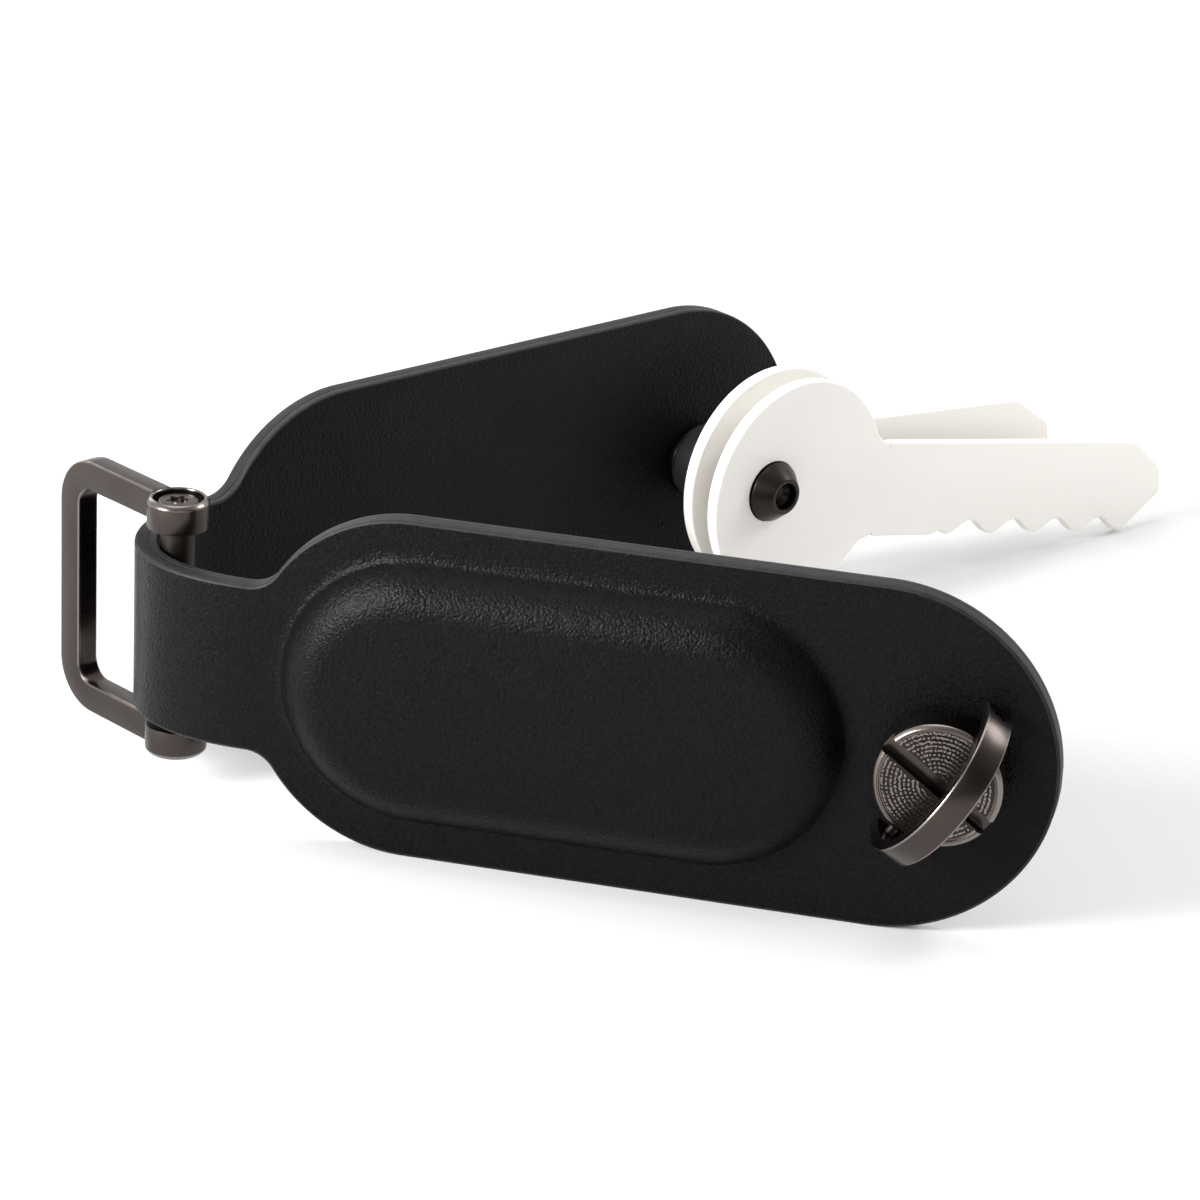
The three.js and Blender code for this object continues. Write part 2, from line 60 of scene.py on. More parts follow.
keyPost = Vector(joints["front_key_swivel"]["pos_m"])
lockPost = Vector(joints["knob_turn"]["pos_m"])
keyIn = Vector(joints["front_key_swivel"]["axis"])  # out of the rear leaf's inner face
lockOut = Vector(joints["knob_turn"]["axis"])  # out of the front leaf's outer face
rearAlong = up.cross(keyIn)
frontAlong = up.cross(lockOut)
halfOpening = math.atan2(rearAlong.y, rearAlong.x)


# shared tools

def placeAt(origin, xAxis, zAxis):  # local millimetres to the frame
    turn = Matrix((xAxis, zAxis.cross(xAxis), zAxis)).transposed().to_4x4()
    return Matrix.Translation(origin) @ turn @ Matrix.Scale(mm, 4)


def turnAbout(axis, degrees):
    return Matrix.Rotation(math.radians(degrees), 4, axis)


def linear(hexColour):  # sRGB hex to linear
    parts = [int(hexColour[i:i + 2], 16) / 255 for i in (1, 3, 5)]
    return tuple(p / 12.92 if p <= 0.04045 else ((p + 0.055) / 1.055) ** 2.4 for p in parts) + (1,)


def addNode(tree, kind, links=None, **settings):  # a node among the links stands for its first output
    node = tree.nodes.new(kind)
    for name, value in settings.items():
        setattr(node, name, value)
    for socket, source in (links or {}).items():
        if isinstance(source, bpy.types.Node):
            source = source.outputs[0]
        if isinstance(source, bpy.types.NodeSocket):
            tree.links.new(source, node.inputs[socket])
        else:
            node.inputs[socket].default_value = source
    return node


def maths(tree, operation, *values):
    return addNode(tree, "ShaderNodeMath", dict(enumerate(values)), operation=operation).outputs[0]


def compared(tree, operation, *values):
    return addNode(tree, "FunctionNodeCompare", dict(enumerate(values)), operation=operation).outputs[0]


def newObject(name, data, materials=()):
    piece = bpy.data.objects.new(name, data)
    scene.collection.objects.link(piece)
    for material in materials:
        data.materials.append(material)
    return piece


def shaped(name, points, faces, finishes=None, materials=()):  # finishes count in the materials
    mesh = bpy.data.meshes.new(name)
    mesh.from_pydata(points, [], faces)
    if finishes:
        mesh.polygons.foreach_set("material_index", finishes)
    shape = bmesh.new()
    shape.from_mesh(mesh)
    bmesh.ops.remove_doubles(shape, verts=shape.verts, dist=weld)
    bmesh.ops.recalc_face_normals(shape, faces=shape.faces)
    shape.to_mesh(mesh)
    shape.free()
    return newObject(name, mesh, materials)


def evaluated(piece):  # new mesh of a piece as its modifiers leave it
    graph = bpy.context.evaluated_depsgraph_get()
    graph.update()
    return bpy.data.meshes.new_from_object(piece.evaluated_get(graph))


def applied(piece):  # modifiers into the mesh
    old = piece.data
    mesh = evaluated(piece)
    piece.modifiers.clear()
    piece.data = mesh
    mesh.name = piece.name
    bpy.data.meshes.remove(old)
    return piece


def cleaned(piece, reach=0.002):  # no slivers left by booleans or bevels, in local millimetres
    shape = bmesh.new()
    shape.from_mesh(piece.data)
    bmesh.ops.remove_doubles(shape, verts=shape.verts, dist=reach)
    bmesh.ops.dissolve_degenerate(shape, dist=reach, edges=shape.edges)
    shape.to_mesh(piece.data)
    shape.free()
    return piece


def combined(piece, others, operation):  # booleans in local millimetres
    for other in others:
        modifier = piece.modifiers.new(operation, "BOOLEAN")
        modifier.operation = operation
        modifier.solver = "EXACT"
        modifier.object = other
    applied(piece)
    for other in others:
        bpy.data.objects.remove(other)
    return cleaned(piece)


def shaded(piece, smooth):  # smooth, apart from edges sharper than this many degrees
    piece.data.shade_smooth()
    piece.data.set_sharp_from_angle(angle=math.radians(smooth))


def finished(piece, place, body, nodes, smooth=35):
    piece.data.transform(place)
    shaded(piece, smooth)
    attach(piece, body)
    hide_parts(*nodes)
    return piece


def easedCorner(before, corner, after, radius, steps, most=0.45):  # takes at most this share of a side
    toBefore, toAfter = before - corner, after - corner
    cut = min(radius, most * toBefore.length, most * toAfter.length)
    start, end = corner + toBefore.normalized() * cut, corner + toAfter.normalized() * cut
    shares = [step / steps for step in range(steps + 1)]
    return [tuple((1 - t) ** 2 * start + 2 * t * (1 - t) * corner + t * t * end) for t in shares]


def softened(profile, radius, steps=3):  # rounds the corners of an open profile
    points = [profile[0]]
    for corner in zip(profile, profile[1:], profile[2:]):
        points += easedCorner(*map(Vector, corner), radius, steps)
    return points + [profile[-1]]


def rod(radius, low, high):  # profile of a plain cylinder
    return [(0, low), (radius, low), (radius, high), (0, high)]


def band(hole, radius, low, high):  # open profile of a plain washer or sleeve
    return [(hole, low), (radius, low), (radius, high), (hole, high)]


def closed(profile):
    return profile + profile[:1]


def turned(name, profile, materials, sides=96, polishHighlightFrom=None):  # slants above this height take the second material, polished and painted lighter as a highlight
    points, faces, finishes = [], [], []
    for k in range(sides):
        turn = 2 * math.pi * k / sides
        points += [(r * math.cos(turn), r * math.sin(turn), z) for r, z in profile]
    count = len(profile)
    for k in range(sides):
        a, b = k * count, (k + 1) % sides * count
        for j in range(count - 1):
            (r0, z0), (r1, z1) = profile[j], profile[j + 1]
            if r0 < tiny and r1 < tiny:
                continue
            face = [a + j, b + j, b + j + 1, a + j + 1]
            if r0 < tiny:
                face = [a + j, b + j + 1, a + j + 1]
            if r1 < tiny:
                face = [a + j, b + j, a + j + 1]
            faces.append(face)
            slant = abs(r1 - r0) > tiny and abs(z1 - z0) > tiny
            finishes.append(1 if polishHighlightFrom is not None and slant and z0 > polishHighlightFrom else 0)
    return shaped(name, points, faces, finishes, materials)


def boxed(name, sizeX, sizeY, low, high):
    spanX, spanY = (-sizeX / 2, sizeX / 2), (-sizeY / 2, sizeY / 2)
    corners = [(x, y, z) for x in spanX for y in spanY for z in (low, high)]
    faces = [(0, 1, 3, 2), (4, 6, 7, 5), (0, 4, 5, 1), (2, 3, 7, 6), (0, 2, 6, 4), (1, 5, 7, 3)]
    return shaped(name, corners, faces)


def outlined(name, outline, low, high, edge, materials, steps=3):  # flat piece with rounded edges
    count = len(outline)
    shortest = 0.4  # keeps the mitre of a sharp corner short
    normals = []
    for k in range(count):
        before, here, after = (Vector(outline[(k + i) % count]) for i in (-1, 0, 1))
        a, b = (here - before).normalized(), (after - here).normalized()
        na, nb = Vector((a.y, -a.x)), Vector((b.y, -b.x))
        normals.append((na + nb) / max(shortest, 1 + na.dot(nb)))
    rings = [(0, low), (0, high)]
    if edge:
        arc = [quarterTurn * i / steps for i in range(1, steps + 1)]
        rings = [(edge, low)] + [(edge * (1 - math.sin(t)), low + edge * (1 - math.cos(t))) for t in arc]
        rings += [(edge * (1 - math.cos(t)), high - edge * (1 - math.sin(t))) for t in [0] + arc]
    points, faces, finishes = [], [], []
    for inset, height in rings:
        points += [(x - n.x * inset, y - n.y * inset, height) for (x, y), n in zip(outline, normals)]
    for level in range(len(rings) - 1):
        for k in range(count):
            a, b = level * count + k, level * count + (k + 1) % count
            faces.append((a, b, b + count, a + count))
            finishes.append(1)
    last = (len(rings) - 1) * count
    faces += [tuple(reversed(range(count))), tuple(range(last, last + count))]
    finishes += [0, 0]
    return shaped(name, points, faces, finishes, materials)


def arcPoints(centre, radius, start, end, steps):
    turns = [start + (end - start) * i / steps for i in range(steps + 1)]
    return [(centre[0] + radius * math.cos(t), centre[1] + radius * math.sin(t)) for t in turns]


# materials, with their patterns' sizes in millimetres

def newMaterial(name, colour, roughness, metallic=0.0, shine=0.5):
    material = bpy.data.materials.new(name)
    material.use_nodes = True
    tree = material.node_tree
    shader = tree.nodes["Principled BSDF"]
    shader.inputs["Base Color"].default_value = linear(colour)
    for label, value in (("Roughness", roughness), ("Metallic", metallic), ("Specular IOR Level", shine)):
        shader.inputs[label].default_value = value
    return material, tree, shader


def perMetre(size):  # pattern scale of features this far apart
    return 1000 / size


def objectSpot(tree):
    return addNode(tree, "ShaderNodeTexCoord").outputs["Object"]


def noise(tree, spot, size, detail, **more):
    inputs = {"Vector": spot, "Scale": perMetre(size), "Detail": detail, **more}
    return addNode(tree, "ShaderNodeTexNoise", inputs).outputs


def ranged(tree, value, low, high, toLow=0.0, toHigh=1.0, **settings):
    inputs = {"Value": value, "From Min": low, "From Max": high, "To Min": toLow, "To Max": toHigh}
    return addNode(tree, "ShaderNodeMapRange", inputs, **settings).outputs[0]


def setTone(tree, shader, share, colour, light):
    colours = {0: share, 6: linear(colour), 7: linear(light)}
    blend = addNode(tree, "ShaderNodeMix", colours, data_type="RGBA")
    tree.links.new(blend.outputs[2], shader.inputs["Base Color"])


def setBump(tree, shader, height, strength, depth, invert=False):
    inputs = {"Height": height, "Strength": strength, "Distance": depth * mm}
    bump = addNode(tree, "ShaderNodeBump", inputs, invert=invert)
    tree.links.new(bump.outputs["Normal"], shader.inputs["Normal"])


grain = {
    "warpSize": 1.7, "warpDetail": 2.0, "warpReach": 0.35,
    "poreSize": 0.45, "poreDetail": 3.0, "poreShare": 0.7,  # next to a pebble's size and height
    "strength": 0.55, "creaseShadeValue": 1.25, "topLightValue": 0.35,
    "cloudSize": 14, "cloudDetail": 3.0, "cloudRange": (0.3, 0.7), "glossRange": (-0.05, 0.07),
}


def grainLeather(name, colour, light, roughness, shine, grainSize, depth):
    # full-grain leather, drum dyed: small pebbles parted by fine creases, with a low sheen
    g = grain
    material, tree, shader = newMaterial(name, colour, roughness, shine=shine)
    spot = objectSpot(tree)
    warp = noise(tree, spot, g["warpSize"], g["warpDetail"])["Color"]
    push = addNode(tree, "ShaderNodeVectorMath", {0: warp, 3: g["warpReach"] * mm}, operation="SCALE")
    moved = addNode(tree, "ShaderNodeVectorMath", {0: spot, 1: push}, operation="ADD")
    cells = addNode(tree, "ShaderNodeTexVoronoi", {"Vector": moved, "Scale": perMetre(grainSize)},
                    feature="SMOOTH_F1")
    pores = noise(tree, moved, grainSize * g["poreSize"], g["poreDetail"])["Fac"]
    crease = maths(tree, "MULTIPLY_ADD", pores, g["poreShare"], cells.outputs["Distance"])
    cloud = noise(tree, spot, g["cloudSize"], g["cloudDetail"])["Fac"]
    gloss = ranged(tree, cloud, *g["cloudRange"], *(roughness + shift for shift in g["glossRange"]))
    # painted shade and light: the grain's creases are painted darker and its pebble tops lighter
    tone = ranged(tree, crease, g["creaseShadeValue"], g["topLightValue"])
    setTone(tree, shader, tone, colour, light)
    setBump(tree, shader, crease, g["strength"], depth, invert=True)
    tree.links.new(gloss, shader.inputs["Roughness"])
    return material


cutEdge = {
    "fibreSize": 0.8, "fibreDetail": 4.0, "fibreRoughness": 0.65, "toneRange": (0.34, 0.68),
    "strength": 0.35, "depth": 0.08, "shine": 0.25,
}


def paintedEdge(name, colour, light, roughness):
    # cut leather edge, dyed and burnished: fibres pressed flat, mottled grey where the dye is thin
    e = cutEdge
    material, tree, shader = newMaterial(name, colour, roughness, shine=e["shine"])
    spot = objectSpot(tree)
    fibre = noise(tree, spot, e["fibreSize"], e["fibreDetail"], Roughness=e["fibreRoughness"])["Fac"]
    tone = ranged(tree, fibre, *e["toneRange"])
    setTone(tree, shader, tone, colour, light)
    setBump(tree, shader, fibre, e["strength"], e["depth"])
    return material


plate = {
    "blastSize": 0.22, "blastDetail": 2.0, "wearSize": 5, "wearDetail": 3.0, "wearRange": (0.3, 0.7),
    "strength": 0.12, "depth": 0.02,
}


def platedMetal(name, colour, light, roughness, spread):
    # zinc alloy with a dark nickel plate: a bead-blasted satin, so reflections are soft and slightly uneven
    p = plate
    material, tree, shader = newMaterial(name, colour, roughness, 1.0)
    spot = objectSpot(tree)
    blast = noise(tree, spot, p["blastSize"], p["blastDetail"])["Fac"]
    wear = noise(tree, spot, p["wearSize"], p["wearDetail"])["Fac"]
    gloss = ranged(tree, wear, *p["wearRange"], roughness - spread, roughness + spread)
    setTone(tree, shader, wear, colour, light)
    setBump(tree, shader, blast, p["strength"], p["depth"])
    tree.links.new(gloss, shader.inputs["Roughness"])
    return material


moulding = {"detail": 2.0, "cloudSize": 9, "strength": 0.1, "depth": 0.03}


def mouldedPlastic(name, colour, light, roughness, sparkSize):
    # moulded plastic from a spark-eroded tool: an even matt skin with a faint orange peel
    m = moulding
    material, tree, shader = newMaterial(name, colour, roughness)
    spot = objectSpot(tree)
    spark = noise(tree, spot, sparkSize, m["detail"])["Fac"]
    cloud = noise(tree, spot, m["cloudSize"], m["detail"])["Fac"]
    setTone(tree, shader, cloud, colour, light)
    setBump(tree, shader, spark, m["strength"], m["depth"])
    return material


blackLeather = grainLeather("black_fine_grain_leather", "#030303", "#0f0f10", 0.28, 0.085, 0.24, 0.12)
liningLeather = grainLeather("black_lining_leather", "#070707", "#0f0f0f", 0.44, 0.12, 0.26, 0.13)
leatherEdge = paintedEdge("burnished_leather_edge", "#121212", "#202021", 0.55)
liningEdge = paintedEdge("burnished_lining_edge", "#161617", "#262627", 0.5)
satinGunmetal = platedMetal("gunmetal_plate_satin", "#403a37", "#494340", 0.27, 0.04)
# polished gunmetal, lighter than the satin: partly a polished finish, partly a painted highlight on rounded
# edges, rims and raised dashes
polishedHighlightGunmetal = platedMetal("gunmetal_plate_polished_painted_highlight", "#746c68", "#7f7772", 0.26, 0.03)
# a darker gunmetal as painted shade: on the drum's face inside its rim, the ring's post barrel, the hinge
# pins and the lock collar
shadeGunmetal = platedMetal("gunmetal_plate_painted_shade", "#2f2b29", "#3a3633", 0.42, 0.05)
blackOxide = platedMetal("black_oxide_steel_satin", "#2e2a28", "#383432", 0.34, 0.04)
offWhite = mouldedPlastic("off_white_acetal_matt", "#eeebe5", "#f1eee9", 0.5, 0.5)
blackNylon = mouldedPlastic("black_nylon_matt", "#19191a", "#222223", 0.6, 0.4)
stiffBoard = mouldedPlastic("grey_fibre_board", "#3a3a3c", "#454548", 0.85, 0.3)
print("materials made")


# strap: two leaves and the neck that loops the ring post, as leather outside and a thin lining inside

strap = {
    "leafWidth": 30, "leafLength": 76.9, "leather": 1.2, "glue": 0.1, "lining": 0.6, "liningGap": 0.02,
    "frontOffset": 7.3, "rearOffset": 7.8,  # ring post axis to each leaf's outer face
    "neckWidth": 14.8, "shoulderRadius": 13.8, "shoulderFillet": 3, "shoulderEnd": 22.5,
    "loopRadius": 3.6, "neckEase": 7.4, "loopEase": 2.4,  # pull of the soft curve from leaf to loop
    "grainEdge": 0.26, "seamEdge": 0.05, "liningEdge": 0.18,  # rounding of the cut edges
    "rows": 76, "liningRows": 12, "frontStep": 0.38, "rearStep": 2,
    "endSteps": 40, "endTurn": 87, "shoulderSteps": 64, "neckSteps": 40, "edgeSteps": 4, "sharpFrom": 50,
    "keyPlace": 64.7, "lockPlace": 67.6, "keyHole": 1.6, "lockHole": 4.1, "seatHole": 4.85, "drillReach": 6,
    "foldStart": (0, -1.2, 0), "foldEnd": (0, -7.2, 0),  # where the fold turns, from the ring post
}
pocket = {
    "start": 11.5, "end": 59.5, "margin": 3.3, "height": 2.8, "easeIn": 3,
    "baseRadius": 0.6, "shoulderRadius": 4.4, "wallAngle": 56, "crown": 0.3, "footSteps": 6, "browSteps": 12,
}


def sideColumns(offset, step):  # from a leaf's round end to the back of the ring post
    # a column is its x and y, the turn of its outside, its half width and the direction of its edge
    s = strap
    shoulder, fillet, shoulderEnd = s["shoulderRadius"], s["shoulderFillet"], s["shoulderEnd"]
    endRadius = s["leafWidth"] / 2
    endCentre = s["leafLength"] - endRadius
    shoulderHeight = endRadius - shoulder
    filletHeight = s["neckWidth"] / 2 + fillet
    reach = shoulder + fillet
    filletCentre = shoulderEnd - math.sqrt(reach ** 2 - (filletHeight - shoulderHeight) ** 2)
    tangent = filletCentre + fillet * (shoulderEnd - filletCentre) / reach
    flat = (offset, quarterTurn)
    columns = []
    for i in range(s["endSteps"]):
        turn = math.radians(s["endTurn"]) * (1 - i / s["endSteps"])
        edge = (math.sin(turn), math.cos(turn))
        columns.append((endCentre + endRadius * edge[0], *flat, endRadius * edge[1], *edge))
    count = round((endCentre - shoulderEnd) / step)
    for i in range(count):
        x = endCentre + (shoulderEnd - endCentre) * i / count
        columns.append((x, *flat, endRadius, 0, 1))
    for i in range(s["shoulderSteps"]):
        x = shoulderEnd + (filletCentre - shoulderEnd) * i / s["shoulderSteps"]
        if x >= tangent:
            rise = math.sqrt(shoulder ** 2 - (shoulderEnd - x) ** 2)
            columns.append((x, *flat, shoulderHeight + rise, (x - shoulderEnd) / shoulder, rise / shoulder))
        else:
            fall = math.sqrt(fillet ** 2 - (x - filletCentre) ** 2)
            columns.append((x, *flat, filletHeight - fall, (filletCentre - x) / fillet, fall / fillet))
    back = math.pi - halfOpening  # the post's far side, seen from this leaf
    outward = Vector((math.cos(back), math.sin(back)))
    start, end = Vector((filletCentre, offset)), outward * s["loopRadius"]
    pullOut = start + Vector((-s["neckEase"], 0))
    pullIn = end + Vector((outward.y, -outward.x)) * s["loopEase"]
    for i in range(s["neckSteps"] + 1):
        t = i / s["neckSteps"]
        u = 1 - t
        spot = u ** 3 * start + 3 * t * u ** 2 * pullOut + 3 * t * t * u * pullIn + t ** 3 * end
        slope = u ** 2 * (pullOut - start) + 2 * t * u * (pullIn - pullOut) + t * t * (end - pullIn)
        columns.append((spot.x, spot.y, math.atan2(-slope.x, slope.y), s["neckWidth"] / 2, 0, 1))
    return columns


def pocketWall():  # lateral place and height along the pocket's wall, from its foot to its top
    lean = math.radians(pocket["wallAngle"])
    foot, brow = pocket["baseRadius"], pocket["shoulderRadius"]
    footSteps, browSteps = pocket["footSteps"], pocket["browSteps"]
    rise = pocket["height"] - (foot + brow) * (1 - math.cos(lean))
    run = rise / math.tan(lean)
    turns = [lean * i / footSteps for i in range(footSteps + 1)]
    points = [(foot * math.sin(t), foot * (1 - math.cos(t))) for t in turns]
    x, z = points[-1][0] + run, points[-1][1] + rise
    for i in range(browSteps + 1):
        t = lean * (1 - i / browSteps)
        points.append((x + brow * (math.sin(lean) - math.sin(t)), z + brow * (math.cos(t) - math.cos(lean))))
    middle = points[footSteps // 2][0]
    points = [(a - middle, b) for a, b in points]
    lengths = [0]
    for (a, b), (c, d) in zip(points, points[1:]):
        lengths.append(lengths[-1] + math.hypot(c - a, d - b))
    return points, lengths


wallPoints, wallLengths = pocketWall()


def pocketMove(x, v, inset):  # how the moulding shifts and lifts a point of the flat leaf
    radius = strap["leafWidth"] / 2 - pocket["margin"] - inset
    near, far = pocket["start"] + inset + radius, pocket["end"] - inset - radius
    centre = min(max(x, near), far)
    away = math.hypot(x - centre, v)
    inside = radius - away
    reach = wallPoints[-1][0] - wallPoints[0][0]
    spare = (wallLengths[-1] - reach) / 2
    low, high = wallPoints[0][0] - spare, wallPoints[-1][0] + spare
    swell = pocket["crown"] * (1 - (1 - min(1, max(0, inside) / radius)) ** 2)
    if inside <= low:
        return 0, 0, 0
    if inside >= high or away < tiny:
        return 0, 0, pocket["height"] + swell
    along = (inside - low) / (high - low) * wallLengths[-1]
    k = max(i for i, length in enumerate(wallLengths) if length <= along)
    k = min(k, len(wallLengths) - 2)
    t = (along - wallLengths[k]) / (wallLengths[k + 1] - wallLengths[k])
    lateral = wallPoints[k][0] + t * (wallPoints[k + 1][0] - wallPoints[k][0])
    height = wallPoints[k][1] + t * (wallPoints[k + 1][1] - wallPoints[k][1])
    shift = inside - lateral
    return (x - centre) / away * shift, v / away * shift, height + swell * height / pocket["height"]


def strapLayer(name, outer, inner, edges, rows, moulded, materials):
    rear = [(*column, 1) for column in sideColumns(strap["rearOffset"], strap["rearStep"])]
    front = [(*column, -1) for column in sideColumns(strap["frontOffset"], strap["frontStep"])]
    columns = rear + front[-2::-1]
    last = len(columns) - 1

    def point(column, dx, v, depth, leatherInset):
        x, y, turn, *_, side = column
        lift = 0
        if moulded and side < 0 and x > pocket["start"] - pocket["easeIn"]:
            moveX, moveV, lift = pocketMove(x + dx, v, leatherInset)
            dx, v = dx + moveX, v + moveV
        x, y = x + dx + math.cos(turn) * (lift - depth), y + math.sin(turn) * (lift - depth)
        c, n = math.cos(halfOpening), math.sin(halfOpening)
        return (x * c - y * n, side * (x * n + y * c), v)

    points, faces, finishes = [], [], []
    for depth, edge, inset in ((outer, edges[0], 0), (inner, edges[1], inner - outer)):
        for column in columns:
            half = column[3] - column[5] * edge
            points += [point(column, -column[4] * edge, half * (2 * j / rows - 1), depth, inset)
                       for j in range(rows + 1)]
    wide, layer = rows + 1, (rows + 1) * len(columns)
    for level in (0, layer):
        for i in range(last):
            for j in range(rows):
                a = level + i * wide + j
                faces.append((a, a + 1, a + wide + 1, a + wide))
                finishes.append(0)
    rim = [(i, rows) for i in range(last + 1)] + [(last, j) for j in range(rows - 1, 0, -1)]
    rim += [(i, 0) for i in range(last, -1, -1)] + [(0, j) for j in range(1, rows)]
    arc = [quarterTurn * i / strap["edgeSteps"] for i in range(1, strap["edgeSteps"] + 1)]
    steps = [(edges[0] * (1 - math.sin(t)), outer + edges[0] * (1 - math.cos(t))) for t in arc]
    steps += [(edges[1] * (1 - math.cos(t)), inner - edges[1] * (1 - math.sin(t))) for t in [0] + arc[:-1]]
    rings = [[i * wide + j for i, j in rim]]
    for inset, depth in steps:
        rings.append(list(range(len(points), len(points) + len(rim))))
        for i, j in rim:
            column = columns[i]
            if 0 < j < rows:
                half = (column[3] - column[5] * edges[0]) * (2 * j / rows - 1)
                points.append(point(column, -inset, half, depth, 0))
            else:
                half = column[3] - column[5] * inset
                points.append(point(column, -column[4] * inset, half if j else -half, depth, 0))
    rings.append([layer + i * wide + j for i, j in rim])
    for lower, upper in zip(rings, rings[1:]):
        for k in range(len(rim)):
            n = (k + 1) % len(rim)
            faces.append((lower[k], lower[n], upper[n], upper[k]))
            finishes.append(1)
    return shaped(name, points, faces, finishes, materials)


def leafDrill(name, along, outward, offset, place, radius):  # round hole through a leaf
    reach = strap["drillReach"]
    drill = turned(name, rod(radius, -reach, reach), [], sides=48)
    axes = placeAt(along * place + outward * offset, along, outward)
    drill.data.transform(axes @ Matrix.Scale(1 / mm, 4))
    return drill


def makeStrap():
    s = strap
    thick = s["leather"] + s["glue"] + s["lining"]
    rear, front = s["rearOffset"] - thick / 2, s["frontOffset"] - thick / 2
    leatherEdges, liningEdges = (s["grainEdge"], s["seamEdge"]), (s["seamEdge"], s["liningEdge"])
    layers = (
        ("leather", 0, s["leather"], leatherEdges, s["rows"], True,
         [blackLeather, leatherEdge], s["lockHole"]),
        ("lining", s["leather"] + s["liningGap"], thick, liningEdges, s["liningRows"], False,
         [liningLeather, liningEdge], s["seatHole"]),
    )
    for slot, outer, inner, edges, rows, moulded, materials, lockHole in layers:
        piece = strapLayer("strap_" + slot, outer, inner, edges, rows, moulded, materials)
        combined(piece, [
            leafDrill("key_hole", rearAlong, -keyIn, rear, s["keyPlace"], s["keyHole"]),
            leafDrill("lock_hole", frontAlong, lockOut, front, s["lockPlace"], lockHole),
        ], "DIFFERENCE")
        piece.data.transform(Matrix.Translation(ringPost) @ Matrix.Scale(mm, 4))
        shaded(piece, s["sharpFrom"])
        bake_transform(piece)
        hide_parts(*(f"{part}_{slot}" for part in ("rear_leaf", "neck_loop", "front_leaf")))
        print(piece.name, "made,", len(piece.data.polygons), "faces")


makeStrap()


# bars that follow a path, with polished edges painted lighter as a highlight

def newTree(name, inputs):  # empty geometry tree, and its named inputs
    tree = bpy.data.node_groups.new(name, "GeometryNodeTree")
    face = tree.interface
    face.new_socket("Geometry", in_out="OUTPUT", socket_type="NodeSocketGeometry")
    for label, kind in inputs.items():
        face.new_socket(label, in_out="INPUT", socket_type="NodeSocket" + kind)
    return tree, addNode(tree, "NodeGroupInput").outputs


def sweptTree():
    tree, given = newTree("swept_bar", {
        "Path": "Geometry", "Thickness": "Float", "Width": "Float", "Edge": "Float", "Edge Steps": "Int",
        "Satin": "Material", "Polished Highlight": "Material"})
    upright = addNode(tree, "GeometryNodeSetCurveNormal", {"Curve": given["Path"]}, mode="Z_UP")
    section = addNode(tree, "GeometryNodeCurvePrimitiveQuadrilateral",
                      {"Width": given["Thickness"], "Height": given["Width"]})
    rounded = addNode(tree, "GeometryNodeFilletCurve", {
        "Curve": section, "Count": given["Edge Steps"], "Radius": given["Edge"]}, mode="POLY")
    bar = addNode(tree, "GeometryNodeCurveToMesh", {
        "Curve": upright, "Profile Curve": rounded, "Fill Caps": True})
    normal = addNode(tree, "GeometryNodeInputNormal").outputs["Normal"]
    tilt = addNode(tree, "ShaderNodeVectorMath", {0: normal, 1: (0, 0, 1)}, operation="DOT_PRODUCT")
    lean = maths(tree, "ABSOLUTE", tilt.outputs["Value"])
    least, most = 0.15, 0.96  # faces that lean between these are the rounded edges
    both = {0: compared(tree, "GREATER_THAN", lean, least), 1: compared(tree, "LESS_THAN", lean, most)}
    slanted = addNode(tree, "FunctionNodeBooleanMath", both, operation="AND")
    real = addNode(tree, "GeometryNodeRealizeInstances", {0: bar})
    satin = addNode(tree, "GeometryNodeSetMaterial", {"Geometry": real, "Material": given["Satin"]})
    highlit = addNode(tree, "GeometryNodeSetMaterial", {
        "Geometry": satin, "Material": given["Polished Highlight"], "Selection": slanted})
    addNode(tree, "NodeGroupOutput", {0: highlit})
    return tree


sweptBar = sweptTree()


def makeReal(piece, tree, inputs):  # runs a tree on a piece and keeps the result as a plain mesh
    modifier = piece.modifiers.new("shape", "NODES")
    modifier.node_group = tree
    sockets = {item.name: item.identifier for item in tree.interface.items_tree if item.in_out == "INPUT"}
    for label, value in inputs.items():
        modifier[sockets[label]] = value
    mesh, name = evaluated(piece), piece.name
    bpy.data.objects.remove(piece)
    return newObject(name, mesh)


def swept(name, path, thickness, width, edge):
    curve = bpy.data.curves.new(name, "CURVE")
    curve.dimensions = "3D"
    spline = curve.splines.new("POLY")
    spline.points.add(len(path) - 1)
    for spot, (x, y) in zip(spline.points, path):
        spot.co = (x, y, 0, 1)
    return makeReal(newObject(name, curve), sweptBar, {
        "Thickness": thickness, "Width": width, "Edge": edge, "Edge Steps": 3,
        "Satin": satinGunmetal, "Polished Highlight": polishedHighlightGunmetal})


# ring, its knuckles, its post and its screw

ring = {
    "angle": 119.5, "reach": 15.1, "height": 23.2, "corner": 4.3, "cornerSteps": 24,
    "barDepth": 2.6, "barWidth": 2.2, "edge": 0.3, "barOverlap": 0.3,
    "knuckleRadius": 2.66, "knuckleHeight": 2.6, "knuckleEdge": (0.3, 0.32), "boreEdge": (0.06, 0.1),
    "headRadius": 1.72, "headGap": 0.42, "headTop": 11.3, "headBase": 10.8, "polishHighlightDepth": 0.5,
    "postRadius": 1.5, "postTop": 8.9, "screwRadius": 1, "screwEnd": 0.9, "play": 0.1,
    "knuckleSoft": 0.1, "barrelSoft": 0.12, "screwSoft": 0.14,  # rounding of the turned edges
    "driveRadius": 1.05, "driveDepth": 0.35, "driveOpen": 1, "driveLobes": 6, "driveValley": 0.82,
    "driveSteps": 72,
}


def driveOutline():  # star recess
    r = ring
    outline = []
    for k in range(r["driveSteps"]):
        turn = 2 * math.pi * k / r["driveSteps"]
        wave = r["driveValley"] + (1 - r["driveValley"]) * math.cos(r["driveLobes"] * turn)
        outline.append((r["driveRadius"] * wave * math.cos(turn), r["driveRadius"] * wave * math.sin(turn)))
    return outline


